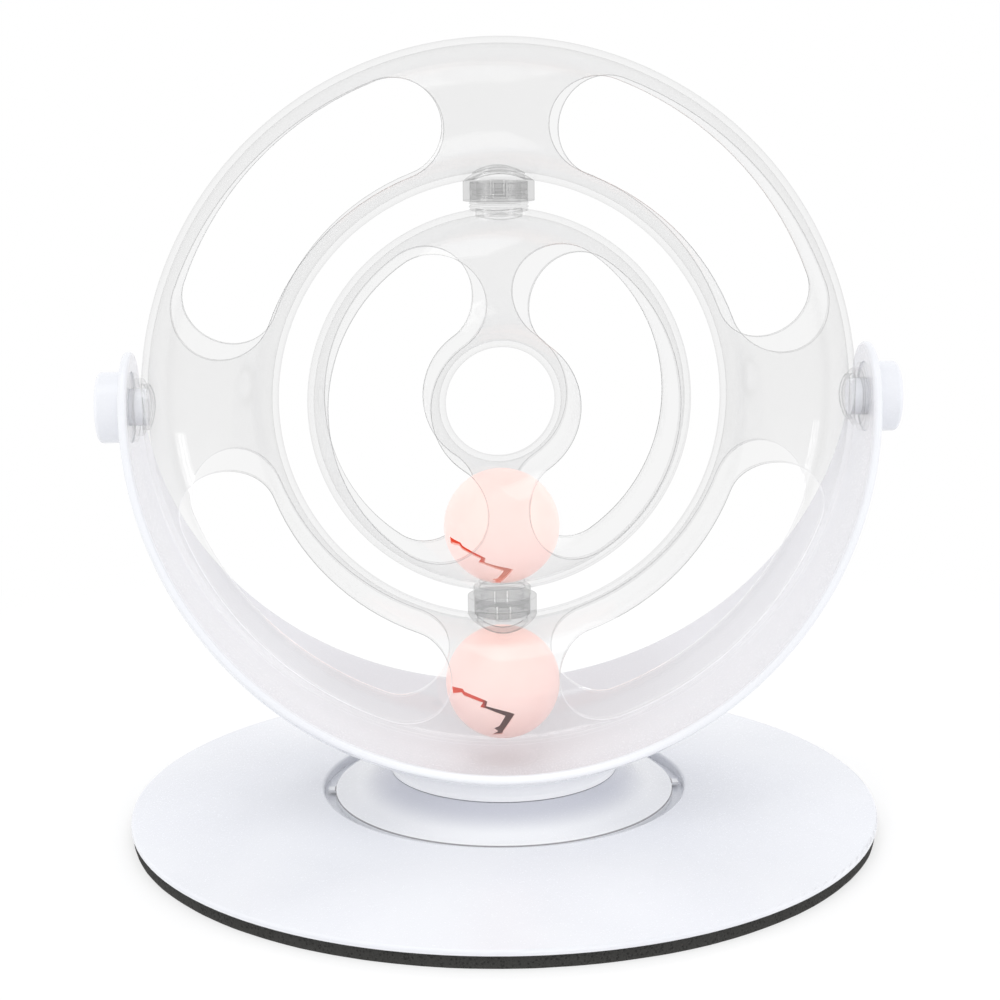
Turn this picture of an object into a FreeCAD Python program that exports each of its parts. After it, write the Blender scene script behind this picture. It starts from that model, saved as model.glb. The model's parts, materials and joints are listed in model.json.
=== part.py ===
"""Ball toy: two clear rings that tumble in a bowl-shaped bracket on a turntable foot.

The toy stands on the XY plane with the centre of its foot at the origin and its front
towards -Y. The bracket turns about the vertical axis. The outer ring flips about the X
axis on two pivots in the bracket ears, the inner ring turns about the line through the
top and bottom of the outer ring, and one ball rolls in each ring. Sizes are in
millimetres and angles in degrees.
"""
import FreeCAD, Part
import math
import os
import re
import Sketcher

# Driving sizes. Each of them can be changed by itself.
SIZES = {
    # foot
    "foam_thick": 4.5,
    "foam_inset": 0.5,
    "plate_radius": 132.5,
    "plate_edge": 1.7,
    "plate_round": 0.9,
    "plate_rise": 5.8,
    "plate_wall": 2.2,
    "rib_thick": 1.6,
    "moat_width": 4.0,
    "moat_depth": 3.4,
    "floor_wall": 2.0,
    # hub
    "hub_radius": 60.5,
    "hub_sink": 1.0,
    "hub_rise": 7.4,
    "hub_wall": 2.2,
    "hub_round": 0.8,
    "flare_radius": 29.0,
    "seam_radius": 40.5,
    "seam_gap": 0.3,
    "nub_reach": 2.4,
    "nub_width": 4.0,
    "washer_inner": 24.0,
    "washer_width": 6.0,
    "washer_thick": 1.0,
    # tub and drive under the hub
    "ground_gap": 1.2,
    "cup_wall": 2.0,
    "cup_flange": 3.0,
    "flange_thick": 1.6,
    "post_radius": 3.0,
    "box_wall": 2.2,
    "door_lap": 1.0,
    "motor_radius": 16.0,
    "motor_height": 9.2,
    "ear_thick": 1.6,
    "shaft_radius": 2.5,
    "shaft_flat": 2.0,
    "spindle_radius": 9.2,
    "spindle_flange": 14.0,
    "spindle_thick": 2.3,
    "spindle_circle": 5.6,
    "cell_radius": 5.25,
    "cell_length": 44.5,
    "contact_space": 2.2,
    "board_length": 32.0,
    "board_width": 13.0,
    "board_thick": 1.2,
    "board_place": 31.0,
    "switch_height": 3.4,
    "switch_travel": 3.4,
    "screw_radius": 1.25,
    "head_radius": 2.3,
    "head_height": 1.2,
    # bracket
    "swing_gap": 4.0,
    "bowl_wall": 3.0,
    "bowl_drop": 1.5,
    "foot_floor": 2.3,
    "foot_skirt": 3.0,
    "foot_edge": 1.8,
    "foot_reach": 7.5,
    "foot_round": 8.0,
    "pad_height": 0.6,
    "ear_radius": 19.0,
    "rim_angle": 17.1,
    "rim_round": 1.2,
    "knob_radius": 12.2,
    "knob_length": 8.4,
    "knob_round": 1.6,
    "stem_radius": 6.4,
    # outer ring
    "ring_radius": 100.0,
    "tube_radius": 23.5,
    "ring_wall": 2.2,
    "slot_catch": 3.65,
    "slot_sweep": 24.3,
    "boss_radius": 10.0,
    "pivot_washer": 12.0,
    "pivot_washer_thick": 2.0,
    "collar_radius": 12.2,
    "collar_drop": 7.5,
    "tab_width": 4.2,
    # inner ring
    "ring_gap": 9.8,
    "inner_tube": 23.8,
    "inner_catch": 3.05,
    "inner_sweep": 55.5,
    "inner_turn": 4.5,
    "neck_radius": 9.8,
    "neck_wall": 2.2,
    "groove_depth": 0.8,
    "bead_width": 0.5,
    # balls and fits
    "ball_slack": 1.05,
    "inner_slack": 1.35,
    "ball_wall": 1.2,
    "crack_scale": 1.0,
    "outer_roll": 11.7,
    "inner_roll": 7.0,
    "ball_gap": 0.3,
    "fit_gap": 0.3,
    "run_gap": 0.08,
}

# Places and sizes that follow from the driving sizes.
FORMULAS = {
    "plate_rim": "foam_thick + plate_edge",
    "well_edge": "plate_rim + plate_rise",
    "well_radius": "hub_radius + moat_width",
    "well_wall": "well_radius + plate_wall",
    "floor_top": "well_edge - moat_depth",
    "floor_under": "floor_top - floor_wall",
    "floor_bore": "hub_radius - hub_wall - fit_gap",
    "plate_slope": "plate_rise / (plate_radius - well_radius)",
    "plate_thin": "plate_radius - (foam_thick - plate_rim + plate_wall) / plate_slope",
    "hub_rim": "well_edge - hub_sink",
    "hub_top": "hub_rim + hub_rise",
    "hub_under": "hub_top - hub_wall",
    "skirt_bore": "hub_radius - hub_wall",
    "washer_outer": "washer_inner + washer_width",
    "cup_radius": "floor_bore - fit_gap",
    "cup_bore": "cup_radius - cup_wall",
    "cup_floor": "ground_gap + cup_wall",
    "cup_rim": "cup_radius + cup_flange",
    "foam_bore": "cup_rim + fit_gap",
    "boss_place": "(cup_bore - post_radius - fit_gap) / sqrt(2)",
    "boss_foot": "cup_floor + cup_wall",
    "motor_top": "cup_floor + motor_height",
    "ear_place": "motor_radius + post_radius + fit_gap",
    "ear_under": "cup_floor + motor_height / 2",
    "flange_top": "hub_under - fit_gap",
    "flange_under": "flange_top - spindle_thick",
    "cell_height": "cup_floor + cell_radius",
    "cell_near": "motor_radius + box_wall + 2 * fit_gap + cell_radius",
    "cell_far": "cell_near + 2 * cell_radius + fit_gap",
    "box_near": "cell_near - cell_radius - fit_gap",
    "box_far": "cell_far + cell_radius + fit_gap",
    "box_half": "cell_length / 2 + contact_space",
    "door_screw_place": "box_far + box_wall + post_radius / 2",
    "board_height": "cup_floor + switch_height",
    "tube_bore": "tube_radius - ring_wall",
    "inner_bore": "inner_tube - ring_wall",
    "ball_radius": "tube_bore - ball_slack",
    "inner_ball_radius": "inner_bore - inner_slack",
    "slot_half": "ball_radius - slot_catch",
    "inner_slot": "inner_ball_radius - inner_catch",
    "inner_radius": "ring_radius - tube_radius - ring_gap - inner_tube",
    "foot_height": "hub_top + seam_gap",
    "bowl_floor": "foot_height + foot_floor",
    "bowl_bore": "ring_radius + tube_radius + swing_gap",
    "bowl_radius": "bowl_bore + bowl_wall",
    "bowl_height": "bowl_floor + bowl_bore",
    "pivot_height": "bowl_height + bowl_drop",
    "pad_top": "bowl_floor + pad_height",
    "pad_radius": "sqrt(bowl_bore ^ 2 - (bowl_bore - pad_height) ^ 2)",
    "ear_seat": "sqrt(bowl_radius ^ 2 - (knob_radius + bowl_drop) ^ 2)",
    "ear_inner": "bowl_bore + 0.1",
    "washer_face": "ear_inner - fit_gap",
    "boss_face": "washer_face - pivot_washer_thick",
    "stem_bore": "stem_radius + run_gap",
    "stem_end": "ring_radius + tube_bore + fit_gap",
    "spigot_radius": "boss_radius - 2",
    "collar_face": "ring_radius - tube_radius - collar_drop",
    "collar_bore": "neck_radius + run_gap",
    "collar_spigot": "collar_radius - 3.3",
    "collar_web": "ring_radius - tube_radius - ring_wall / 2",
    "neck_root": "inner_radius + inner_tube",
    "neck_spigot": "neck_radius - 1.8",
    "neck_end": "collar_web - fit_gap",
    "groove_low": "collar_face + 2",
    "groove_high": "groove_low + 1.6",
}
SIZE_NAME = re.compile(r"[a-z]+(?:_[a-z]+)+")


def size(text):
    """Turn a formula of plain size names into an expression on the sheet."""
    def swap(match):
        name = match.group(0)
        if name in SIZES:
            return "Dims." + name
        return "(" + size(FORMULAS[name]) + ")"
    return SIZE_NAME.sub(swap, str(text))


def value(text):
    """The present value of a formula of size names."""
    result = sheet.evalExpression(size(text))
    return float(getattr(result, "Value", result))


doc = FreeCAD.newDocument("ring_toy")
sheet = doc.addObject("Spreadsheet::Sheet", "Dims")
for row, (alias, number) in enumerate(SIZES.items(), 1):
    sheet.set("A%d" % row, alias)
    sheet.set("B%d" % row, str(number))
    sheet.setAlias("B%d" % row, alias)
doc.recompute()

UP = FreeCAD.Vector(0, 0, 1)
ALONG_Y = FreeCAD.Vector(0, 1, 0)
LOWER_FRONT = FreeCAD.Vector(1, 0, 0)
LIFT_FRONT = FreeCAD.Vector(-1, 0, 0)
UPRIGHT = FreeCAD.Rotation()
POINT_RIGHT = FreeCAD.Rotation(ALONG_Y, 90)
POINT_LEFT = FreeCAD.Rotation(ALONG_Y, -90)
nodes = []


def bind(thing, **formulas):
    """Bind properties to formulas; a double underscore in a name stands for a dot."""
    for name, text in formulas.items():
        thing.setExpression(name.replace("__", "."), size(text))


def place(thing, x="0", y="0", z="0", turn=UPRIGHT):
    """Give an object its Placement: a fixed turn and a bound position."""
    thing.Placement = FreeCAD.Placement(FreeCAD.Vector(value(x), value(y), value(z)), turn)
    bind(thing, Placement__Base__x=x, Placement__Base__y=y, Placement__Base__z=z)


def spin(thing, angle):
    """Turn an object in its place about the upright line by a bound angle."""
    turned_by = FreeCAD.Rotation(UP, value(angle))
    thing.Placement = FreeCAD.Placement(thing.Placement.Base, turned_by)
    bind(thing, Placement__Rotation__Angle=angle)


def node(thing, label):
    """Name a finished sub-part and list it."""
    thing.Label = label
    nodes.append(thing)
    return thing


def new_body(name):
    return doc.addObject("PartDesign::Body", name)


def origin_feature(body, role):
    return [item for item in body.Origin.OriginFeatures if item.Role == role][0]


def sketch_on(body, role, offset="0"):
    """A sketch on one of the body's own origin planes, moved along the plane's normal."""
    sketch = body.newObject("Sketcher::SketchObject", body.Name + "_sketch")
    sketch.AttachmentSupport = [(origin_feature(body, role), "")]
    sketch.MapMode = "FlatFace"
    if offset != "0":
        bind(sketch, AttachmentOffset__Base__z=offset)
    return sketch


def fix(sketch, kind, formula, *places):
    """Add one bound constraint, or hold the point on its axis where the distance is zero."""
    if formula == "0":
        axis = {"DistanceX": -2, "DistanceY": -1}[kind]
        sketch.addConstraint(Sketcher.Constraint("PointOnObject", places[2], places[3], axis))
        return
    number = sketch.addConstraint(Sketcher.Constraint(kind, *places, value(formula)))
    bind(sketch, **{"Constraints[%d]" % number: formula})


def fix_point(sketch, edge, point, x, y):
    fix(sketch, "DistanceX", x, -1, 1, edge, point)
    fix(sketch, "DistanceY", y, -1, 1, edge, point)


def add_edge(sketch, start, end, corner):
    """Add the line or arc that leaves a corner; return its number, first and last point."""
    if len(corner) == 2:
        return sketch.addGeometry(Part.LineSegment(start, end)), 1, 2
    radius, side = value(corner[2]), corner[3]
    chord = end - start
    rise = math.sqrt(max(radius ** 2 - chord.Length ** 2 / 4, 0))
    across = FreeCAD.Vector(-chord.y, chord.x, 0).normalize() * side
    centre = (start + end) * 0.5 + across * rise
    first = math.atan2(start.y - centre.y, start.x - centre.x)
    last = math.atan2(end.y - centre.y, end.x - centre.x)
    circle = Part.Circle(centre, UP, radius)
    if side > 0:
        edge = (sketch.addGeometry(Part.ArcOfCircle(circle, first, last)), 1, 2)
    else:
        edge = (sketch.addGeometry(Part.ArcOfCircle(circle, last, first)), 2, 1)
    fix(sketch, "Radius", corner[2], edge[0])
    return edge


def outline(sketch, corners):
    """Draw a closed outline. A corner is (x, y), or (x, y, radius, side) where an arc leaves
    it: side 1 bends to the left and side -1 to the right."""
    points = [FreeCAD.Vector(value(corner[0]), value(corner[1]), 0) for corner in corners]
    edges = []
    for index, corner in enumerate(corners):
        following = points[(index + 1) % len(points)]
        edges.append(add_edge(sketch, points[index], following, corner))
    for index, (edge, first, last) in enumerate(edges):
        following, start, end = edges[(index + 1) % len(edges)]
        sketch.addConstraint(Sketcher.Constraint("Coincident", edge, last, following, start))
    for corner, (edge, first, last) in zip(corners, edges):
        fix_point(sketch, edge, first, corner[0], corner[1])


def circle_at(sketch, x, y, radius):
    """Draw a circle at a bound place."""
    centre = FreeCAD.Vector(value(x), value(y), 0)
    edge = sketch.addGeometry(Part.Circle(centre, UP, value(radius)))
    fix(sketch, "Radius", radius, edge)
    fix_point(sketch, edge, 3, x, y)


def box_corners(left, right, low, high):
    return [(left, low), (right, low), (right, high), (left, high)]


def minus(text):
    return "0" if text == "0" else "-(%s)" % text


def flip_sideways(corners):
    """The outline mirrored left to right."""
    return [(minus(c[0]), c[1]) + ((c[2], -c[3]) if len(c) > 2 else ()) for c in corners]


def flip_over(corners):
    """The outline mirrored top to bottom."""
    return [(c[0], minus(c[1])) + ((c[2], -c[3]) if len(c) > 2 else ()) for c in corners]


def revolve(body, corners, role="XZ_Plane", axis="V_Axis", sweep=None):
    """Turn an outline about an axis of its sketch, full circle or by a swept angle."""
    sketch = sketch_on(body, role)
    outline(sketch, corners)
    feature = body.newObject("PartDesign::Revolution", body.Name + "_turned")
    feature.Profile = sketch
    feature.ReferenceAxis = (sketch, [axis])
    feature.Midplane = sweep is not None
    feature.Angle = 360
    if sweep is not None:
        bind(feature, Angle=sweep)
    return feature


def pad(body, sketch, length, reverse=False, both=False):
    feature = body.newObject("PartDesign::Pad", body.Name + "_pad")
    feature.Profile = sketch
    feature.Reversed = reverse
    feature.Midplane = both
    bind(feature, Length=length)
    return feature


def pocket(body, sketch, length=None, reverse=False, both=False):
    """Cut a sketch into its body, and make sure that it takes something away."""
    doc.recompute()
    before = body.Shape.Volume
    feature = body.newObject("PartDesign::Pocket", body.Name + "_pocket")
    feature.Profile = sketch
    feature.Reversed = reverse
    feature.Midplane = both
    if length is None:
        feature.Type = "ThroughAll"
    else:
        bind(feature, Length=length)
    doc.recompute()
    if feature.Shape.Volume > before - 1e-3:
        raise RuntimeError("a pocket of %s cuts nothing" % body.Name)
    return feature


def around(body, features, count, role="Z_Axis"):
    """Repeat features of a body round one of its origin axes."""
    pattern = body.newObject("PartDesign::PolarPattern", body.Name + "_pattern")
    pattern.Originals = features
    pattern.Axis = (origin_feature(body, role), [""])
    pattern.Angle = 360
    pattern.Occurrences = count
    body.Tip = pattern
    doc.recompute()


def carve_torus(body, radius, tube):
    """Take a torus round the body's Y axis away from the body."""
    torus = body.newObject("PartDesign::SubtractiveTorus", body.Name + "_torus")
    torus.AttachmentSupport = [(origin_feature(body, "XZ_Plane"), "")]
    torus.MapMode = "FlatFace"
    bind(torus, Radius1=radius, Radius2=tube)
    return torus


def primitive(kind, name, x="0", y="0", z="0", turn=UPRIGHT, **formulas):
    """A Part primitive with bound sizes and a bound place."""
    thing = doc.addObject("Part::" + kind, name)
    bind(thing, **formulas)
    place(thing, x, y, z, turn)
    return thing


def block(name, left, right, front, back, low, high):
    """A box between bound faces."""
    return primitive("Box", name, left, front, low, Length="(%s) - (%s)" % (right, left),
                     Width="(%s) - (%s)" % (back, front), Height="(%s) - (%s)" % (high, low))


def cut(name, base, tool):
    result = doc.addObject("Part::Cut", name)
    result.Base = base
    result.Tool = tool
    return result


def fuse(name, parts):
    result = doc.addObject("Part::MultiFuse", name)
    result.Shapes = parts
    return result


def group(label, parts):
    """Several separate solids under one name."""
    result = doc.addObject("Part::Compound", label)
    result.Links = parts
    return node(result, label)


def screw(name, x, y, low, high, head_up):
    """A plain screw between two heights, with its head at the upper or the lower end."""
    head_low = "(%s) - head_height" % high if head_up else low
    head = primitive("Cylinder", name + "_head", x, y, head_low, Radius="head_radius", Height="head_height")
    shank = primitive("Cylinder", name + "_shank", x, y, low, Radius="screw_radius",
                      Height="(%s) - (%s)" % (high, low))
    return fuse(name, [head, shank])


def plate_top_at(radius):
    return "(plate_rim + plate_slope * (plate_radius - (%s)))" % radius


def bowl_outside_at(radius):
    return "(bowl_height - sqrt(bowl_radius ^ 2 - (%s) ^ 2))" % radius


# The foot.

def make_foam_pad():
    body = new_body("foam_pad")
    revolve(body, box_corners("foam_bore", "plate_radius - foam_inset", "0", "foam_thick"))
    node(body, "foam_pad")


def make_base_plate():
    """A shallow cone of even wall with a round well, stiffened by ribs underneath."""
    body = new_body("base_plate")
    round_edge = "plate_radius - plate_round"
    well_round = "well_radius + plate_round"
    revolve(body, [
        ("floor_bore", "floor_under"),
        ("well_radius", "floor_under"),
        ("well_radius", "foam_thick"),
        ("well_wall", "foam_thick"),
        ("well_wall", plate_top_at("well_wall") + " - plate_wall"),
        ("plate_thin", "foam_thick"),
        ("plate_radius", "foam_thick"),
        ("plate_radius", "plate_rim - plate_round", "plate_round", 1),
        (round_edge, plate_top_at(round_edge)),
        (well_round, plate_top_at(well_round), "plate_round", 1),
        ("well_radius", plate_top_at(well_round) + " - plate_round"),
        ("well_radius", "floor_top"),
        ("floor_bore", "floor_top"),
    ])
    rib_start = "well_radius + plate_wall / 2"
    rib_end = "plate_thin + rib_thick"
    sketch = sketch_on(body, "XZ_Plane")
    outline(sketch, [
        (rib_start, "foam_thick"),
        (rib_end, "foam_thick"),
        (rib_end, plate_top_at(rib_end) + " - plate_wall / 2"),
        (rib_start, plate_top_at(rib_start) + " - plate_wall / 2"),
    ])
    rib = pad(body, sketch, "rib_thick", both=True)
    around(body, [rib], 12)
    node(body, "base_plate")


def make_hub_cover():
    """The flared cover, with a seat for the washer, four screw posts and two rim nubs."""
    body = new_body("hub_cover")
    revolve(body, [
        ("skirt_bore", "floor_top"),
        ("hub_radius", "floor_top"),
        ("hub_radius", "hub_rim - hub_round", "hub_round", 1),
        ("hub_radius - hub_round", "hub_rim", "flare_radius", -1),
        ("seam_radius", "hub_top"),
        ("washer_outer + run_gap", "hub_top"),
        ("washer_outer + run_gap", "hub_top - washer_thick"),
        ("washer_inner - run_gap", "hub_top - washer_thick"),
        ("washer_inner - run_gap", "hub_top"),
        ("spindle_radius + run_gap", "hub_top"),
        ("spindle_radius + run_gap", "hub_under"),
        ("seam_radius - hub_wall / 2", "hub_under", "flare_radius + hub_wall", 1),
        ("skirt_bore", "hub_rim - hub_wall + 0.2"),
    ])
    sketch = sketch_on(body, "XY_Plane", "boss_foot")
    circle_at(sketch, "boss_place", "boss_place", "post_radius")
    post = pad(body, sketch, "hub_rim - boss_foot")
    around(body, [post], 4)
    sketch = sketch_on(body, "XY_Plane", "boss_foot")
    circle_at(sketch, "boss_place", "boss_place", "screw_radius + run_gap")
    hole = pocket(body, sketch, "hub_rim - boss_foot - 1.4", reverse=True)
    around(body, [hole], 4)
    sketch = sketch_on(body, "XZ_Plane")
    outline(sketch, [
        ("skirt_bore + 0.6", "floor_top + 0.4"),
        ("hub_radius + nub_reach", "hub_rim - 1.2"),
        ("hub_radius + nub_reach", "hub_rim - 0.5"),
        ("skirt_bore + 0.6", "hub_rim - 0.5"),
    ])
    nub = pad(body, sketch, "nub_width", both=True)
    around(body, [nub], 2)
    node(body, "hub_cover")


# The tub under the hub, its door and what it holds.

def door_outline(gap):
    """The door opening, or the lid where a gap is given, with the tongue of its screw."""
    side = "(box_half + door_lap - %s)" % gap
    near = "-(box_near - door_lap + %s)" % gap
    far = "-(box_far + door_lap - %s)" % gap
    tongue = "(post_radius + fit_gap - %s)" % gap
    end = "-(door_screw_place + post_radius + fit_gap - %s)" % gap
    return [
        ("-" + side, near),
        ("-" + side, far),
        ("-" + tongue, far),
        ("-" + tongue, end),
        (tongue, end),
        (tongue, far),
        (side, far),
        (side, near),
    ]


def battery_box_corners():
    """Outside of the battery box, with a round post for the door's screw."""
    side, wall_far = "(box_half + box_wall)", "-(box_far + box_wall)"
    return [
        ("-" + side, wall_far),
        ("-post_radius", wall_far),
        ("-post_radius", "-door_screw_place", "post_radius", 1),
        ("0", "-(door_screw_place + post_radius)", "post_radius", 1),
        ("post_radius", "-door_screw_place"),
        ("post_radius", wall_far),
        (side, wall_far),
        (side, "-(box_near - box_wall)"),
        ("-" + side, "-(box_near - box_wall)"),
    ]


def make_base_cup():
    """The tub, with its battery box, switch slot, motor posts and board posts."""
    body = new_body("base_cup")
    revolve(body, [
        ("0", "ground_gap"),
        ("cup_radius", "ground_gap"),
        ("cup_radius", "floor_under - flange_thick"),
        ("cup_rim", "floor_under - flange_thick"),
        ("cup_rim", "floor_under"),
        ("cup_bore", "floor_under"),
        ("cup_bore", "cup_floor"),
        ("0", "cup_floor"),
    ])
    sketch = sketch_on(body, "XY_Plane", "cup_floor")
    outline(sketch, door_outline("0"))
    pocket(body, sketch)
    sketch = sketch_on(body, "XY_Plane", "cup_floor")
    for middle in ("-box_half / 2", "box_half / 2"):
        outline(sketch, box_corners(middle + " - 3.3", middle + " + 3.3", "-(box_near - door_lap + 0.2)",
                                    "-(box_near - box_wall + fit_gap)"))
    pocket(body, sketch, "cup_wall / 2 + 0.1")
    sketch = sketch_on(body, "XY_Plane", "cup_floor")
    outline(sketch, battery_box_corners())
    outline(sketch, box_corners("-box_half", "box_half", "-box_far", "-box_near"))
    pad(body, sketch, "cell_radius")
    sketch = sketch_on(body, "XY_Plane", "cup_floor")
    circle_at(sketch, "0", "-door_screw_place", "screw_radius + run_gap")
    pocket(body, sketch, "cell_radius - 1", reverse=True)
    sketch = sketch_on(body, "XY_Plane", "cup_floor")
    circle_at(sketch, "boss_place", "boss_place", "post_radius")
    post = pad(body, sketch, "boss_foot - cup_floor")
    around(body, [post], 4)
    sketch = sketch_on(body, "XY_Plane", "ground_gap")
    circle_at(sketch, "boss_place", "boss_place", "head_radius + fit_gap")
    recess = pocket(body, sketch, "head_height + 0.1", reverse=True)
    sketch = sketch_on(body, "XY_Plane", "ground_gap")
    circle_at(sketch, "boss_place", "boss_place", "screw_radius + fit_gap")
    bore = pocket(body, sketch, "boss_foot - ground_gap", reverse=True)
    around(body, [recess, bore], 4)
    sketch = sketch_on(body, "XY_Plane", "cup_floor")
    circle_at(sketch, "ear_place", "0", "post_radius - fit_gap")
    post = pad(body, sketch, "ear_under - cup_floor")
    around(body, [post], 2)
    sketch = sketch_on(body, "XY_Plane", "ear_under")
    circle_at(sketch, "ear_place", "0", "screw_radius + run_gap")
    hole = pocket(body, sketch, "ear_under - cup_floor - 0.4")
    around(body, [hole], 2)
    for radius, rise in (("post_radius - 0.8", "0"), ("1.2", "board_thick + 0.6")):
        sketch = sketch_on(body, "XY_Plane", "cup_floor")
        circle_at(sketch, "board_length / 2 - 3", "board_place", radius)
        circle_at(sketch, "3 - board_length / 2", "board_place", radius)
        pad(body, sketch, "board_height - cup_floor + " + rise)
    sketch = sketch_on(body, "XY_Plane", "cup_floor")
    reach = "(switch_travel / 2 + 1.7)"
    outline(sketch, box_corners("-" + reach, reach, "board_place - 1.6", "board_place + 1.6"))
    pocket(body, sketch)
    node(body, "base_cup")


def make_battery_door():
    """The lid, with two tabs at its inner edge and a sunk screw hole in its tongue."""
    body = new_body("battery_door")
    sketch = sketch_on(body, "XY_Plane", "ground_gap")
    outline(sketch, door_outline("fit_gap"))
    pad(body, sketch, "cup_wall")
    sketch = sketch_on(body, "XY_Plane", "cup_floor - 0.1")
    for middle in ("-box_half / 2", "box_half / 2"):
        outline(sketch, box_corners(middle + " - 3", middle + " + 3", "-(box_near + door_lap)",
                                    "-(box_near - box_wall + 2 * fit_gap)"))
    pad(body, sketch, "cup_wall / 2 - 0.1", reverse=True)
    for radius, depth in (("head_radius + 0.1", "head_height + 0.1"),
                          ("screw_radius + fit_gap", "cup_wall")):
        sketch = sketch_on(body, "XY_Plane", "ground_gap")
        circle_at(sketch, "0", "-door_screw_place", radius)
        pocket(body, sketch, depth, reverse=True)
    node(body, "battery_door")


def make_base_screws():
    posts = ((1, 1), (-1, 1), (-1, -1), (1, -1))
    group("cup_screws", [
        screw("cup_screw_%d" % index, "%d * boss_place" % side, "%d * boss_place" % end,
              "ground_gap + 0.1", "hub_rim - 2", head_up=False)
        for index, (side, end) in enumerate(posts)
    ])
    group("motor_screws", [
        screw("motor_screw_%d" % index, "%d * ear_place" % side, "0", "cup_floor + 1",
              "ear_under + ear_thick + head_height", head_up=True)
        for index, side in enumerate((1, -1))
    ])
    node(screw("door_screw", "0", "-door_screw_place", "ground_gap + 0.1",
               "cup_floor + cell_radius - 1.6", head_up=False), "door_screw")


def make_battery_cells():
    """Two round cells that lie side by side and point opposite ways."""
    cells = []
    for index, (across, turn) in enumerate((("-cell_near", POINT_RIGHT), ("-cell_far", POINT_LEFT))):
        body = new_body("cell_%d" % index)
        revolve(body, [
            ("0", "-cell_length / 2"),
            ("cell_radius", "-cell_length / 2"),
            ("cell_radius", "cell_length / 2 - 1"),
            ("1.9", "cell_length / 2 - 1"),
            ("1.9", "cell_length / 2"),
            ("0", "cell_length / 2"),
        ])
        place(body, y=across, z="cell_height", turn=turn)
        cells.append(body)
    group("battery_cells", cells)


def make_battery_contacts():
    """A plate at each end, with a spring cone for one cell and a dimple for the other."""
    contacts = []
    for side, turn, spring, dimple in ((1, POINT_LEFT, "-cell_far", "-cell_near"),
                                       (-1, POINT_RIGHT, "-cell_near", "-cell_far")):
        name = "contact_right" if side > 0 else "contact_left"
        left, right = ("box_half - 0.5", "box_half") if side > 0 else ("-box_half", "0.5 - box_half")
        plate = block(name + "_plate", left, right, "-box_far + 0.6", "-box_near - 0.6",
                      "cup_floor + 0.6", "cell_height + 0.4 * cell_radius")
        pieces = [plate]
        for kind, across, wide, narrow in (("spring", spring, "3.6", "1.8"), ("dimple", dimple, "2.6", "1.4")):
            pieces.append(primitive("Cone", name + "_" + kind, "%d * (box_half - 0.5)" % side, across,
                                    "cell_height", turn, Radius1=wide, Radius2=narrow,
                                    Height="contact_space - 0.5"))
        contacts.append(fuse(name, pieces))
    group("battery_contacts", contacts)


def make_gear_motor():
    """A flat closed gear motor with two ears and a bore for its output shaft."""
    body = new_body("gear_motor")
    revolve(body, [
        ("0", "cup_floor"),
        ("motor_radius", "cup_floor"),
        ("motor_radius", "motor_top"),
        ("shaft_radius + 2", "motor_top"),
        ("shaft_radius + 2", "motor_top + 0.5"),
        ("shaft_radius + run_gap", "motor_top + 0.5"),
        ("shaft_radius + run_gap", "cup_floor + 2"),
        ("0", "cup_floor + 2"),
    ])
    sketch = sketch_on(body, "XY_Plane", "ear_under")
    root = "motor_radius - 1"
    outline(sketch, [
        (root, "-post_radius"),
        ("ear_place", "-post_radius", "post_radius", 1),
        ("ear_place + post_radius", "0", "post_radius", 1),
        ("ear_place", "post_radius"),
        (root, "post_radius"),
    ])
    circle_at(sketch, "ear_place", "0", "screw_radius + fit_gap / 2")
    ear = pad(body, sketch, "ear_thick")
    around(body, [ear], 2)
    node(body, "gear_motor")


def flatted_corners(radius, flat):
    """A circle with two flats that face left and right."""
    half = "sqrt((%s) ^ 2 - (%s) ^ 2)" % (radius, flat)
    return [
        (minus(flat), minus(half), radius, 1),
        (flat, minus(half)),
        (flat, half, radius, 1),
        (minus(flat), half),
    ]


def make_drive_shaft():
    """The output shaft: round in the motor, with two flats in the spindle."""
    body = new_body("drive_shaft")
    sketch = sketch_on(body, "XY_Plane", "cup_floor + 2 + fit_gap")
    circle_at(sketch, "0", "0", "shaft_radius")
    pad(body, sketch, "motor_height - 1.5 - fit_gap")
    sketch = sketch_on(body, "XY_Plane", "cup_floor + 2 + fit_gap")
    outline(sketch, flatted_corners("shaft_radius", "shaft_flat"))
    pad(body, sketch, "foot_height - 1.3 - cup_floor - 2 - fit_gap")
    node(body, "drive_shaft")


def make_spindle():
    """The flanged sleeve that holds the bracket down through the hub."""
    body = new_body("spindle")
    revolve(body, [
        ("0", "flange_under"),
        ("spindle_flange", "flange_under"),
        ("spindle_flange", "flange_top"),
        ("spindle_radius", "flange_top"),
        ("spindle_radius", "foot_height"),
        ("0", "foot_height"),
    ])
    sketch = sketch_on(body, "XY_Plane", "flange_under")
    outline(sketch, flatted_corners("shaft_radius + run_gap", "shaft_flat + run_gap"))
    pocket(body, sketch, "foot_height - 1.2 - flange_under", reverse=True)
    cuts = []
    for radius, depth in (("head_radius + 0.1", "head_height + 0.1"),
                          ("screw_radius + fit_gap", "foot_height - flange_under")):
        sketch = sketch_on(body, "XY_Plane", "flange_under")
        circle_at(sketch, "0", "spindle_circle", radius)
        cuts.append(pocket(body, sketch, depth, reverse=True))
    around(body, cuts, 3)
    node(body, "spindle")


def make_spindle_screws():
    screws = []
    for index in range(3):
        angle = "(%d * 1 deg)" % (90 + 120 * index)
        screws.append(screw("spindle_screw_%d" % index, "spindle_circle * cos" + angle,
                            "spindle_circle * sin" + angle, "flange_under + 0.1",
                            "pad_top - 1", head_up=False))
    group("spindle_screws", screws)


def make_thrust_washer():
    body = new_body("thrust_washer")
    revolve(body, box_corners("washer_inner", "washer_outer", "hub_top - washer_thick", "hub_top"))
    node(body, "thrust_washer")


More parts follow.
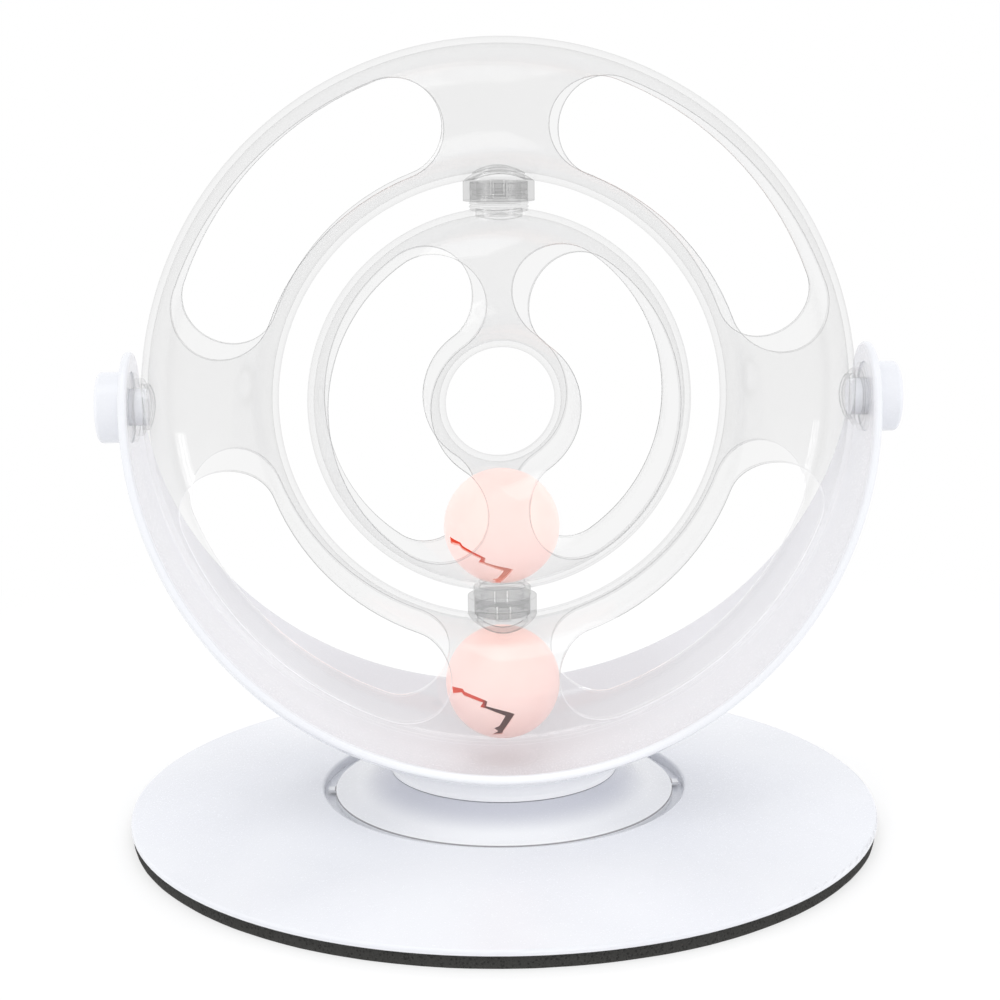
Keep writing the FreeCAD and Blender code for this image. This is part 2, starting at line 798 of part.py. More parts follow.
def make_circuit_board():
    body = new_body("circuit_board")
    sketch = sketch_on(body, "XY_Plane", "board_height")
    outline(sketch, box_corners("-board_length / 2", "board_length / 2", "board_place - board_width / 2",
                                "board_place + board_width / 2"))
    circle_at(sketch, "board_length / 2 - 3", "board_place", "1.3")
    circle_at(sketch, "3 - board_length / 2", "board_place", "1.3")
    pad(body, sketch, "board_thick")
    node(body, "circuit_board")


def make_switch():
    """A slide switch under the board: a case open below, and a slider with a wide head."""
    reach = "(switch_travel / 2 + 2.3)"
    case = block("switch_case", "-%s - 1" % reach, reach + " + 1", "board_place - 3.5",
                 "board_place + 3.5", "cup_floor", "board_height")
    inside = block("switch_space", "-" + reach, reach, "board_place - 2.4", "board_place + 2.4",
                   "cup_floor - 1", "board_height - 1.2")
    node(cut("switch_body", case, inside), "switch_body")
    middle = "-switch_travel / 2"
    knob = block("slider_knob", middle + " - 1.4", middle + " + 1.4", "board_place - 1.3",
                 "board_place + 1.3", "ground_gap + 0.3", "cup_floor + 1")
    head = block("slider_head", middle + " - 2", middle + " + 2", "board_place - 2.1",
                 "board_place + 2.1", "cup_floor + fit_gap", "board_height - 1.5")
    node(fuse("switch_slider", [knob, head]), "switch_slider")


# The bracket and its two pivots.

def rim_distance(point):
    """How far a point lies outside the side outline of the bracket."""
    angle = math.radians(value("rim_angle"))
    side, height = abs(point.y), point.z - value("pivot_height")
    if height > value("ear_radius") * math.sin(angle):
        return math.hypot(side, height) - value("ear_radius")
    return side * math.cos(angle) + height * math.sin(angle) - value("ear_radius")


def rim_edges(shape):
    """The long edges of the bowl's rim, inside and outside."""
    centre = FreeCAD.Vector(0, 0, value("bowl_height"))
    names = []
    for number, edge in enumerate(shape.Edges, 1):
        middle = edge.valueAt((edge.FirstParameter + edge.LastParameter) / 2)
        radius = (middle - centre).Length
        on_bowl = min(abs(radius - value("bowl_bore")), abs(radius - value("bowl_radius"))) < 0.02
        if on_bowl and abs(rim_distance(middle)) < 0.02:
            names.append("Edge%d" % number)
    return names


def bracket_profile():
    """Half section of the whole bowl with its foot, from the centre outwards and back."""
    flat = "sqrt(bowl_radius ^ 2 - (bowl_height - foot_height) ^ 2)"
    ring_in, ring_out = "washer_inner - 0.5", "washer_outer + 0.5"
    skirt_in, reach = "seam_radius - foot_skirt", "seam_radius + foot_reach"
    top = "(pivot_height + ear_radius + 1)"
    edge = "sqrt((%s) ^ 2 - (" + top + " - bowl_height) ^ 2)"
    return [
        ("0", "foot_height"),
        (flat, "foot_height", "bowl_radius", 1),
        (ring_in, bowl_outside_at(ring_in)),
        (ring_in, "foot_height"),
        (ring_out, "foot_height"),
        (ring_out, bowl_outside_at(ring_out), "bowl_radius", 1),
        (skirt_in, bowl_outside_at(skirt_in)),
        (skirt_in, "foot_height"),
        ("seam_radius", "foot_height"),
        ("seam_radius", "foot_height + foot_edge", "foot_round", -1),
        (reach, bowl_outside_at(reach), "bowl_radius", 1),
        (edge % "bowl_radius", top),
        (edge % "bowl_bore", top, "bowl_bore", -1),
        ("pad_radius", "pad_top"),
        ("0", "pad_top"),
    ]


def make_bracket():
    """A slice of a bowl that narrows upwards to two round ears, on a round foot."""
    body = new_body("bracket")
    revolve(body, bracket_profile())
    tangent_side = "ear_radius * cos(rim_angle * 1 deg)"
    tangent_height = "pivot_height + ear_radius * sin(rim_angle * 1 deg)"
    low = "(foot_height - 4)"
    low_side = ("(ear_radius + (pivot_height - " + low + ") * sin(rim_angle * 1 deg))"
                " / cos(rim_angle * 1 deg)")
    far = "bowl_radius + 6"
    sketch = sketch_on(body, "YZ_Plane")
    outline(sketch, box_corners(minus(far), far, low + " - 4", "pivot_height + ear_radius + 6"))
    outline(sketch, [
        (minus(low_side), low),
        (low_side, low),
        (tangent_side, tangent_height, "ear_radius", 1),
        ("0", "pivot_height + ear_radius", "ear_radius", 1),
        (minus(tangent_side), tangent_height),
    ])
    slice_cut = pocket(body, sketch, both=True)
    edges = rim_edges(slice_cut.Shape)
    fillet = body.newObject("PartDesign::Fillet", "bracket_rim")
    fillet.Base = (slice_cut, edges)
    bind(fillet, Radius="rim_round")
    cuts = []
    for offset, radius, outwards in (("ear_seat", "knob_radius + fit_gap", True),
                                     ("ear_inner", "pivot_washer + fit_gap", False),
                                     ("ear_inner - 2", "stem_radius + 0.1", True)):
        sketch = sketch_on(body, "YZ_Plane", offset)
        circle_at(sketch, "0", "pivot_height", radius)
        cuts.append(pocket(body, sketch, "2 * bowl_wall", reverse=outwards))
    around(body, cuts, 2)
    sketch = sketch_on(body, "XY_Plane", "foot_height")
    circle_at(sketch, "0", "spindle_circle", "screw_radius + run_gap")
    hole = pocket(body, sketch, "pad_top - foot_height - 0.6", reverse=True)
    around(body, [hole], 3)
    node(body, "bracket")


def pivot_piece(label, corners, right):
    """A piece turned about the pivot axis, on the right or the left."""
    body = new_body(label)
    revolve(body, corners if right else flip_sideways(corners), axis="H_Axis")
    place(body, z="pivot_height")
    return node(body, label)


def knob_corners():
    end = "ear_seat + knob_length"
    return [
        ("stem_end", "0"),
        (end, "0"),
        (end, "knob_radius - knob_round", "knob_round", 1),
        (end + " - knob_round", "knob_radius"),
        ("ear_seat", "knob_radius"),
        ("ear_seat", "stem_radius"),
        ("stem_end", "stem_radius"),
    ]


def make_pivots():
    for side, right in (("left", False), ("right", True)):
        pivot_piece("knob_" + side, knob_corners(), right)
        washer = box_corners("boss_face", "washer_face", "stem_bore", "pivot_washer")
        pivot_piece("pivot_washer_" + side, washer, right)
        make_side_boss("side_boss_" + side, right)


def make_side_boss(label, right):
    """A bearing boss that seats on the outer ring and plugs into its wall."""
    body = new_body(label)
    deep = "ring_radius + tube_radius / 2"
    for radius, far, tube in (("boss_radius", "boss_face", "tube_radius + run_gap"),
                              ("spigot_radius - run_gap", "ring_radius + tube_radius + 1", "tube_bore + run_gap")):
        corners = box_corners(deep, far, "stem_bore", radius)
        revolve(body, corners if right else flip_sideways(corners), axis="H_Axis")
        carve_torus(body, "ring_radius", tube)
    place(body, z="pivot_height")
    node(body, label)


# The two rings and what joins them.

def polar(radius, angle, across="0"):
    """A point at a radius and an angle, shifted across the radius."""
    turn = "((%s) * 1 deg)" % angle
    return ("(%s) * cos%s - (%s) * sin%s" % (radius, turn, across, turn),
            "(%s) * sin%s + (%s) * cos%s" % (radius, turn, across, turn))


def arc_slot(radius, half, middle, sweep):
    """A slot with round ends that follows a circle."""
    first, last = "%s - %s" % (middle, sweep), "%s + %s" % (middle, sweep)
    outside, inside = "(%s + %s)" % (radius, half), "(%s - %s)" % (radius, half)
    return [
        polar(outside, first) + (outside, 1),
        polar(outside, last) + (half, 1),
        polar(radius, last, half) + (half, 1),
        polar(inside, last) + (inside, -1),
        polar(inside, first) + (half, 1),
        polar(radius, first, minus(half)) + (half, 1),
    ]


def half_tube(radius, tube):
    """Section of one half of a ring, from its outer edge over the top to its inner edge."""
    bore = "%s - ring_wall" % tube
    return [
        ("%s + %s" % (radius, tube), "0", tube, 1),
        (radius, tube, tube, 1),
        ("%s - %s" % (radius, tube), "0"),
        ("%s - (%s)" % (radius, bore), "0", bore, -1),
        (radius, bore, bore, -1),
        ("%s + %s" % (radius, bore), "0"),
    ]


def half_ring(label, front, radius, tube, slot, slots):
    """One half of a hollow ring, split across its tube, with slots that show the ball."""
    body = new_body(label)
    section = half_tube(radius, tube)
    revolve(body, flip_over(section) if front else section, role="XY_Plane")
    sketch = sketch_on(body, "XZ_Plane")
    outline(sketch, slot)
    opening = pocket(body, sketch, both=True)
    around(body, [opening], slots, "Y_Axis")
    return body


def wall_port(body, role, radius, port, outwards):
    """Two opposite holes in the wall of a ring half, towards or away from its centre."""
    sketch = sketch_on(body, role, radius)
    circle_at(sketch, "0", "0", port)
    hole = pocket(body, sketch, "inner_tube + 2", reverse=outwards)
    around(body, [hole], 2, "Y_Axis")


def make_outer_ring():
    slot = arc_slot("ring_radius", "slot_half", "45", "slot_sweep")
    for side, front in (("front", True), ("rear", False)):
        label = "outer_ring_" + side
        body = half_ring(label, front, "ring_radius", "tube_radius", slot, 4)
        wall_port(body, "XY_Plane", "ring_radius", "collar_spigot + run_gap", False)
        wall_port(body, "YZ_Plane", "ring_radius", "spigot_radius", True)
        place(body, z="pivot_height")
        node(body, label)


def make_inner_ring():
    slot = arc_slot("inner_radius", "inner_slot", "0", "inner_sweep")
    for side, front in (("front", True), ("rear", False)):
        label = "inner_ring_" + side
        body = half_ring(label, front, "inner_radius", "inner_tube", slot, 2)
        wall_port(body, "XY_Plane", "inner_radius", "neck_spigot + run_gap", True)
        place(body, z="pivot_height")
        spin(body, "inner_turn")
        node(body, label)


def make_collar(label, below):
    """A clear cap on the outer ring that a neck of the inner ring turns in. Two spring
    tabs in its wall catch the groove of the neck."""
    body = new_body(label)
    pick = flip_over if below else list
    inside = "ring_radius - tube_radius / 2"
    revolve(body, pick([
        ("collar_bore", "collar_face"),
        ("collar_radius", "collar_face"),
        ("collar_radius", inside),
        ("0", inside),
        ("0", "collar_web"),
        ("collar_bore", "collar_web"),
    ]))
    carve_torus(body, "ring_radius", "tube_radius + run_gap")
    revolve(body, pick(box_corners("0", "collar_spigot", "collar_web", inside)))
    carve_torus(body, "ring_radius", "tube_bore + run_gap")
    sketch = sketch_on(body, "XZ_Plane")
    window = "tab_width / 2 + 0.5"
    outline(sketch, pick(box_corners(minus(window), window, "groove_low - 0.8", "collar_web")))
    pocket(body, sketch, both=True)
    tab_in, tab_out = "collar_bore + 0.2", "collar_radius - 0.5"
    hook = "neck_radius - groove_depth + fit_gap"
    tab = revolve(body, pick([
        (tab_in, "collar_web + 0.4"),
        (tab_in, "groove_high - fit_gap"),
        (hook, "groove_high - fit_gap"),
        (hook, "groove_low + fit_gap"),
        (tab_in, "groove_low + fit_gap"),
        (tab_in, "groove_low - 0.4"),
        (tab_out, "groove_low - 0.4"),
        (tab_out, "collar_web + 0.4"),
    ]), role="YZ_Plane", sweep="2 * asin(tab_width / 2 / collar_radius)")
    around(body, [tab], 2)
    place(body, z="pivot_height")
    node(body, label)


def make_neck(label, below):
    """A beaded neck that plugs into the inner ring and turns in a collar."""
    body = new_body(label)
    pick = flip_over if below else list
    deep = "inner_radius + inner_tube / 2"
    bead = "neck_radius + 0.35"
    side = [("0", deep), ("neck_radius", deep)]
    for step in (-1.1, 0.1, 1.3):
        low = "neck_root + %s" % step
        side += [
            ("neck_radius", low),
            (bead, low),
            (bead, low + " + bead_width"),
            ("neck_radius", low + " + bead_width"),
        ]
    groove = "neck_radius - groove_depth"
    revolve(body, pick(side + [
        ("neck_radius", "groove_low"),
        (groove, "groove_low"),
        (groove, "groove_high"),
        ("neck_radius", "groove_high"),
        ("neck_radius", "neck_end"),
        ("neck_radius - neck_wall", "neck_end"),
        ("neck_radius - neck_wall", "neck_root + 1.5"),
        ("0", "neck_root + 1.5"),
    ]))
    carve_torus(body, "inner_radius", "inner_tube + run_gap")
    revolve(body, pick(box_corners("0", "neck_spigot", deep, "neck_root + 1")))
    carve_torus(body, "inner_radius", "inner_bore + run_gap")
    place(body, z="pivot_height")
    spin(body, "inner_turn")
    node(body, label)


def crack_outline(sketch):
    """A jagged crack, seen from the front: a wide block at the left, a thin stepped line
    across, and a leg that runs down to a forked end."""
    outline(sketch, [(x + " * crack_scale", z + " * crack_scale") for x, z in (
        ("-18.3", "-0.7"),
        ("-14.8", "-1.1"),
        ("-14.1", "-2.1"),
        ("-7.7", "-4.6"),
        ("-6.3", "-5.3"),
        ("-6.7", "-7.0"),
        ("1.1", "-9.2"),
        ("3.2", "-10.0"),
        ("-0.7", "-16.5"),
        ("-0.9", "-17.6"),
        ("-4.6", "-18.0"),
        ("-2.5", "-16.5"),
        ("-4.0", "-15.3"),
        ("-2.1", "-14.4"),
        ("-0.1", "-10.6"),
        ("-6.7", "-7.9"),
        ("-8.8", "-7.4"),
        ("-7.9", "-5.8"),
        ("-14.3", "-3.5"),
        ("-15.1", "-2.5"),
        ("-18.0", "-3.2"),
    )])


def make_ball(label, radius, path, axis, roll):
    """A hollow ball at rest in the lowest part of its ring, with a crack through its front
    wall. It is made round its own centre and then rolled by an angle about an axis."""
    body = new_body(label)
    bind(body.newObject("PartDesign::AdditiveSphere", label + "_skin"), Radius=radius)
    bind(body.newObject("PartDesign::SubtractiveSphere", label + "_hollow"), Radius="%s - ball_wall" % radius)
    sketch = sketch_on(body, "XZ_Plane")
    crack_outline(sketch)
    pocket(body, sketch, reverse=True)
    place(body, z="pivot_height - (%s)" % path, turn=FreeCAD.Rotation(axis, value(roll)))
    bind(body, Placement__Rotation__Angle=roll)
    node(body, label)


def check():
    """Stop if an object failed or a sub-part is not one valid set of solids."""
    doc.recompute()
    for thing in doc.Objects:
        if "Invalid" in thing.State or "Error" in thing.State:
            raise RuntimeError("%s failed: %s" % (thing.Name, thing.State))
    for thing in nodes:
        shape = thing.Shape
        if shape.isNull() or not shape.isValid() or not shape.Solids:
            raise RuntimeError("%s has no valid shape" % thing.Label)


make_foam_pad()
make_base_plate()
make_hub_cover()
make_base_cup()
make_battery_door()
make_base_screws()
make_battery_cells()
make_battery_contacts()
make_gear_motor()
make_drive_shaft()
make_spindle()
make_spindle_screws()
make_thrust_washer()
make_circuit_board()
make_switch()
make_bracket()
make_pivots()
make_outer_ring()
make_inner_ring()
for position, below in (("top", False), ("bottom", True)):
    make_collar("collar_" + position, below)
    make_neck("neck_" + position, below)
make_ball("outer_ball", "ball_radius", "ring_radius + tube_bore - ball_radius - ball_gap",
          LIFT_FRONT, "outer_roll")
make_ball("inner_ball", "inner_ball_radius", "inner_radius + inner_bore - inner_ball_radius - ball_gap",
          LOWER_FRONT, "inner_roll")
check()
os.makedirs("parts", exist_ok=True)
for part in nodes:
    part.Shape.exportStep("parts/%s.step" % part.Label)
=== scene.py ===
# %% [markdown]
# The toy is two clear rings, one inside the other, that tumble in a white bracket on a
# round foot, with a pink ball loose in each ring. The construction is already measured
# and comes in as a fixed frame: every node lies where it belongs, in metres. This file
# adds what the eye sees: the finish of each surface, the soft pad under the foot, the
# screws, the lights and the camera. The frame is loaded before anything is made, so that
# each new piece can take its size and place from it.

# %% Load the frame
import json
import math

import bmesh
import bpy
from mathutils import Matrix, Vector


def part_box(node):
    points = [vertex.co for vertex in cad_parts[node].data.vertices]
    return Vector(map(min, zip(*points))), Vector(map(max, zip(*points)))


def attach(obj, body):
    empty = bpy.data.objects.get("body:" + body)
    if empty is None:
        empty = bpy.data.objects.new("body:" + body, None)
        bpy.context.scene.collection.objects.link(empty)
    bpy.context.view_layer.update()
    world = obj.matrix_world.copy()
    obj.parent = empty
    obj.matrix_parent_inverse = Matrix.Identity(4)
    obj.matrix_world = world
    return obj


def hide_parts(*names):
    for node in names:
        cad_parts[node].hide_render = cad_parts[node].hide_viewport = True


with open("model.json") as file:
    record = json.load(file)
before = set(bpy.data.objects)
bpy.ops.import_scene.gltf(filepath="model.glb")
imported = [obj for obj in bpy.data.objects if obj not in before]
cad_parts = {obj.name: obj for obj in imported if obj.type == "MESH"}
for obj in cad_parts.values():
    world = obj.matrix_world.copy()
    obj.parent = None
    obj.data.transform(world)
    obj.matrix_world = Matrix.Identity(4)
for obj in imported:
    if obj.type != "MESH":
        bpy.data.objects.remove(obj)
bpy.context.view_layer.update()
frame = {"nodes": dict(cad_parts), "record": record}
nodes = frame["nodes"]
MM = 0.001

# %% [markdown]
# The camera comes next. It stands a little to the left of the toy and looks slightly
# down on it through a long lens, as for a catalogue. A camera looks along its own -Z,
# so the matrix is built from three directions: right, up and back. The small roll turns
# right and up about the line of sight.

# %% Camera
LENS = 72.0
SENSOR = 36.0
EYE = Vector((-28.957, -684.655, 256.719)) * MM
LOOK_DOWN = math.radians(11.67)
LOOK_ASIDE = math.radians(-2.38)
ROLL = math.radians(-0.52)


def make_camera():
    """A camera at the photograph's place, with no depth of field and no shift."""
    back = Vector((
        math.sin(LOOK_ASIDE) * math.cos(LOOK_DOWN),
        -math.cos(LOOK_ASIDE) * math.cos(LOOK_DOWN),
        math.sin(LOOK_DOWN),
    ))
    level = Vector((math.cos(LOOK_ASIDE), math.sin(LOOK_ASIDE), 0.0))
    upright = back.cross(level)
    right = level * math.cos(ROLL) + upright * math.sin(ROLL)
    up = upright * math.cos(ROLL) - level * math.sin(ROLL)
    data = bpy.data.cameras.new("camera")
    data.lens = LENS
    data.sensor_width = SENSOR
    camera = bpy.data.objects.new("camera", data)
    bpy.context.scene.collection.objects.link(camera)
    camera.matrix_world = Matrix.Translation(EYE) @ Matrix((right, up, back)).transposed().to_4x4()
    bpy.context.scene.camera = camera
    return camera


camera = make_camera()
bpy.context.scene.view_settings.view_transform = "Standard"
print("camera", round(camera.location.length, 3), "m from the foot")

# %% [markdown]
# Finishes and repeated shapes are both trees of nodes. Wiring one by hand takes a dozen
# lines for a simple sum, so two small helpers do it. A Signal wraps one output socket,
# and adding or multiplying signals adds the Math nodes. A Tree makes any node in one
# call: its settings first, then the values or links of its sockets. Sockets that the
# settings switch off are passed over, so a name or a number always finds the live one.

# %% Node helpers
class Signal:
    """An output socket that plain arithmetic works on. Each operation adds one Math node."""

    def __init__(self, owner, socket):
        self.owner = owner
        self.socket = socket

    def maths(self, operation, *values):
        return self.owner.node("ShaderNodeMath", dict(enumerate(values)), operation=operation)

    def __add__(self, other):
        return self.maths("ADD", self, other)

    def __mul__(self, other):
        return self.maths("MULTIPLY", self, other)

    def __sub__(self, other):
        return self.maths("SUBTRACT", self, other)

    def __rsub__(self, other):
        return self.maths("SUBTRACT", other, self)

    def __truediv__(self, other):
        return self.maths("DIVIDE", self, other)

    def size(self):
        return self.maths("ABSOLUTE", self)

    def over(self, limit):
        """1 where the signal is greater than the limit, and otherwise 0."""
        return self.maths("GREATER_THAN", self, limit)

    def at_most(self, other):
        return self.maths("MINIMUM", self, other)

    def band(self, low, high):
        """From 0 below low to 1 above high, with soft ends."""
        return self.owner.node("ShaderNodeMapRange", {
            "Value": self, "From Min": low, "From Max": high,
        }, interpolation_type="SMOOTHSTEP")


class Tree:
    """A node tree. Its methods add nodes and return the output as a Signal."""

    def __init__(self, tree):
        self.tree = tree
        self.tree.nodes.clear()

    def node(self, kind, inputs=None, output=0, **settings):
        """Add a node. A plain colour of three numbers is made opaque, and a list of signals
        goes into one socket that takes many."""
        made = self.tree.nodes.new(kind)
        for name, value in settings.items():
            setattr(made, name, value)
        live = [socket for socket in made.inputs if socket.enabled]
        for key, value in (inputs or {}).items():
            socket = live[key] if isinstance(key, int) else next(s for s in live if s.name == key)
            for item in value if isinstance(value, list) else [value]:
                if isinstance(item, Signal):
                    self.tree.links.new(item.socket, socket)
                else:
                    opaque = socket.type == "RGBA" and len(item) == 3
                    socket.default_value = (*item, 1.0) if opaque else item
        results = [socket for socket in made.outputs if socket.enabled]
        if not results:
            return None
        return Signal(self, results[output] if isinstance(output, int) else made.outputs[output])

    def vector(self, operation, *values):
        return self.node("ShaderNodeVectorMath", dict(enumerate(values)), operation=operation)

    def part(self, vector, axis):
        return self.node("ShaderNodeSeparateXYZ", {"Vector": vector}, output=axis)

    def ray(self, output):
        """What kind of light path meets the surface."""
        return self.node("ShaderNodeLightPath", output=output)


class Finish(Tree):
    """One node material."""

    def __init__(self, name):
        self.material = bpy.data.materials.new(name)
        self.material.use_nodes = True
        super().__init__(self.material.node_tree)
        self.place = self.node("ShaderNodeTexCoord", output="Object")

    def noise(self, size, detail=2.0, rough=0.5, place=None):
        """Soft random values round 0.5, with patches about size metres across."""
        return self.node("ShaderNodeTexNoise", {
            "Vector": place or self.place, "Scale": 1.0 / size, "Detail": detail, "Roughness": rough,
        })

    def cells(self, size, feature="F1", place=None):
        """Distance within cells about size metres across."""
        return self.node("ShaderNodeTexVoronoi", {
            "Vector": place or self.place, "Scale": 1.0 / size,
        }, output="Distance", feature=feature)

    def blend(self, share, first, second):
        """A colour that goes from first to second as share goes from 0 to 1."""
        return self.node("ShaderNodeMix", {"Factor": share, "A": first, "B": second}, data_type="RGBA")

    def relief(self, height, depth, before=None):
        """A bump whose height of 1 stands for depth metres."""
        inputs = {"Height": height, "Distance": depth}
        if before:
            inputs["Normal"] = before
        return self.node("ShaderNodeBump", inputs)

    def plastic(self, **inputs):
        """The main shader. Underscores in the names stand for spaces."""
        named = {name.replace("_", " "): value for name, value in inputs.items()}
        return self.node("ShaderNodeBsdfPrincipled", named)

    def mixed(self, share, first, second):
        return self.node("ShaderNodeMixShader", {0: share, 1: first, 2: second})

    def surface(self, shader):
        self.node("ShaderNodeOutputMaterial", {"Surface": shader})
        return self.material


print("node helpers ready")

# %% [markdown]
# Catalogue photographs of white goods are taken in a bright room: big soft lamps above
# and at the sides, and a pale floor that melts into the background. A uniform world
# gives the even fill, and area lamps give the direction. Only the top lamp shows in
# gloss, because the others would draw hard white squares on the rings. The white behind
# the object is only what the eye, mirrors and clear parts see of the world, so it adds
# no light to the object. The floor does the same far from the toy, and close to it it
# keeps the soft shadow.

# %% World, lamps and floor
FILL = 0.875
FILL_COLOUR = (0.985, 0.99, 1.0)
PURE_WHITE = (1.0, 1.0, 1.0)
LAMPS = (
    # name, place, size, watts, whether it shows in gloss
    ("top_lamp", (-0.2, -0.45, 1.25), (0.9, 0.7), 1.8, True),
    ("left_lamp", (-1.2, -0.8, 0.35), (0.8, 0.6), 3.7, False),
    ("right_lamp", (1.25, -0.75, 0.35), (0.8, 0.6), 4.6, False),
    ("back_lamp", (0.1, 1.2, 1.1), (0.9, 0.6), 3.6, False),
)
AIM = Vector((0.0, 0.0, 0.13))
FLOOR_TONE = 0.8
FLOOR_GLOW = 0.62
FLOOR_REACH = 4.0
FADE_START = 0.17
FADE_END = 0.42


def seen_directly(tree):
    """1 for rays that come from the eye, a mirror or a clear part, and otherwise 0."""
    seen = tree.ray("Is Camera Ray") + tree.ray("Is Glossy Ray") + tree.ray("Is Transmission Ray")
    return seen.at_most(1.0)


def make_world():
    """White to look at, and an even fill as a lamp."""
    world = bpy.data.worlds.new("studio")
    bpy.context.scene.world = world
    world.use_nodes = True
    sky = Tree(world.node_tree)
    fill = sky.node("ShaderNodeBackground", {"Color": FILL_COLOUR, "Strength": FILL})
    white = sky.node("ShaderNodeBackground", {"Color": PURE_WHITE, "Strength": 1.0})
    light = sky.node("ShaderNodeMixShader", {0: seen_directly(sky), 1: fill, 2: white})
    sky.node("ShaderNodeOutputWorld", {"Surface": light})


def make_lamp(name, place, size, watts, shows):
    """An area lamp that points at the middle of the toy."""
    data = bpy.data.lights.new(name, "AREA")
    data.shape = "RECTANGLE"
    data.size, data.size_y = size
    data.energy = watts
    lamp = bpy.data.objects.new(name, data)
    bpy.context.scene.collection.objects.link(lamp)
    lamp.location = place
    lamp.rotation_euler = (AIM - Vector(place)).to_track_quat("-Z", "Y").to_euler()
    lamp.visible_glossy = shows


def make_floor():
    """A pale floor that glows a little for the eye, and is plain white away from the toy."""
    finish = Finish("floor")
    plain = finish.node("ShaderNodeBsdfDiffuse", {"Color": (FLOOR_TONE,) * 3})
    softened = finish.node("ShaderNodeBsdfDiffuse", {"Color": (1.0 - FLOOR_GLOW,) * 3})
    glow = finish.node("ShaderNodeEmission", {"Color": PURE_WHITE, "Strength": FLOOR_GLOW})
    white = finish.node("ShaderNodeEmission", {"Color": PURE_WHITE, "Strength": 1.0})
    near = finish.node("ShaderNodeAddShader", {0: softened, 1: glow})
    away = finish.vector("LENGTH", finish.place).band(FADE_START, FADE_END)
    shown = finish.mixed(away, near, white)
    material = finish.surface(finish.mixed(seen_directly(finish), plain, shown))
    mesh = bpy.data.meshes.new("floor")
    signs = ((-1, -1), (1, -1), (1, 1), (-1, 1))
    corners = [(x * FLOOR_REACH, y * FLOOR_REACH, 0) for x, y in signs]
    mesh.from_pydata(corners, [], [(0, 1, 2, 3)])
    mesh.materials.append(material)
    floor = bpy.data.objects.new("floor", mesh)
    bpy.context.scene.collection.objects.link(floor)


make_world()
for lamp in LAMPS:
    make_lamp(*lamp)
make_floor()
print(len(LAMPS), "lamps and a floor")

# %% [markdown]
# The foot, hub, bracket and knobs are moulded in one bright white plastic. Real
# mouldings are never quite flat: the skin has a very shallow orange peel, and handling
# leaves fine scuffs that only show in the gloss. So the colour stays near white, and
# the noise goes into the roughness and the bump. The hub's cover is a moulding of its
# own, with three small differences, all painted light and shade. A thin dark line of
# painted shade runs round it in the narrow gap, just under its rim, where the photograph
# shows one. Its top has painted shade in the corner by the turning foot, and painted
# light further out. The bracket's bowl has painted shade inside, and its lip has painted
# light, whitest at its lowest point, as the photograph shows it, and a plain white
# further up.

# %% White plastic
WHITE = (0.85, 0.86, 0.895)
WHITE_SHADE = (0.825, 0.835, 0.875)
CLOUD_PATCH, CLOUD_BAND = 50.0 * MM, (0.35, 0.65)
PEEL_PATCH, PEEL_DEPTH = 2.8 * MM, 0.04 * MM
SCUFF_PATCH, SCUFF_BAND, SCUFF_DEPTH = 0.6 * MM, (0.52, 0.72), 0.008 * MM
WHITE_ROUGH, CLOUD_ROUGH, SCUFF_ROUGH = 0.2, 0.06, 0.08
PLASTIC_IOR = 1.5
FLAT = (1.0, 1.0, 0.0)

# painted shade: a thin dark line in the gap under the hub's rim
GAP_PAINTED_SHADE = (0.32, 0.31, 0.32)
# painted shade on the hub's top by the turning foot, and painted light further out
HUB_PAINTED_SHADE = (0.63, 0.64, 0.7)
HUB_PAINTED_LIGHT = (0.94, 0.945, 0.96)
# distances from the turning axis
HUB_TOP = (42.0 * MM, 53.0 * MM)
HUB_SIDE = (60.1 * MM, 60.4 * MM)
HUB_CLEAR = (60.6 * MM, 60.9 * MM)
# heights of the thin line of painted shade in the gap
GAP_SHADE_LOW = (10.2 * MM, 10.4 * MM)
GAP_SHADE_HIGH = (10.8 * MM, 11.0 * MM)

BOWL_CENTRE = Vector((0.0, 0.0, 148.5 * MM))
BOWL_INSIDE = (127.7 * MM, 128.4 * MM)
# painted shade inside the bowl and painted light on its lowest lip
BOWL_PAINTED_SHADE = (0.79, 0.795, 0.825)
LIP_PAINTED_LIGHT = (0.94, 0.945, 0.965)
SHELL_WHITE = (0.83, 0.84, 0.87)
LIP_HEIGHT = (22.0 * MM, 50.0 * MM)


def hub_colour(finish):
    """Painted shade near the turning foot and painted light outside, with a thin line of painted shade under
    the rim.
    """
    across = finish.vector("LENGTH", finish.vector("MULTIPLY", finish.place, FLAT))
    level = finish.part(finish.place, "Z")
    side = across.band(*HUB_SIDE) * (1.0 - across.band(*HUB_CLEAR))
    # a thin line of painted shade on the hub's side, just under its rim
    gap_shade = side * level.band(*GAP_SHADE_LOW) * (1.0 - level.band(*GAP_SHADE_HIGH))
    # painted shade near the foot, painted light outside, and the painted shade line on top
    return finish.blend(gap_shade, finish.blend(across.band(*HUB_TOP), HUB_PAINTED_SHADE, HUB_PAINTED_LIGHT), GAP_PAINTED_SHADE)


def bracket_colour(finish):
    """Painted shade inside the bowl, plain outside and painted light on the lowest part of its lip."""
    reach = finish.vector("LENGTH", finish.vector("SUBTRACT", finish.place, BOWL_CENTRE))
    # painted light on the lowest part, plain white higher up
    shell = finish.blend(finish.part(finish.place, "Z").band(*LIP_HEIGHT), LIP_PAINTED_LIGHT, SHELL_WHITE)
    # painted shade inside the bowl
    return finish.blend(reach.band(*BOWL_INSIDE), BOWL_PAINTED_SHADE, shell)


def plain_colour(finish):
    """White with clouds that are hardly darker."""
    cloud = finish.noise(CLOUD_PATCH, detail=3.0)
    return finish.blend(cloud.band(*CLOUD_BAND), WHITE, WHITE_SHADE)


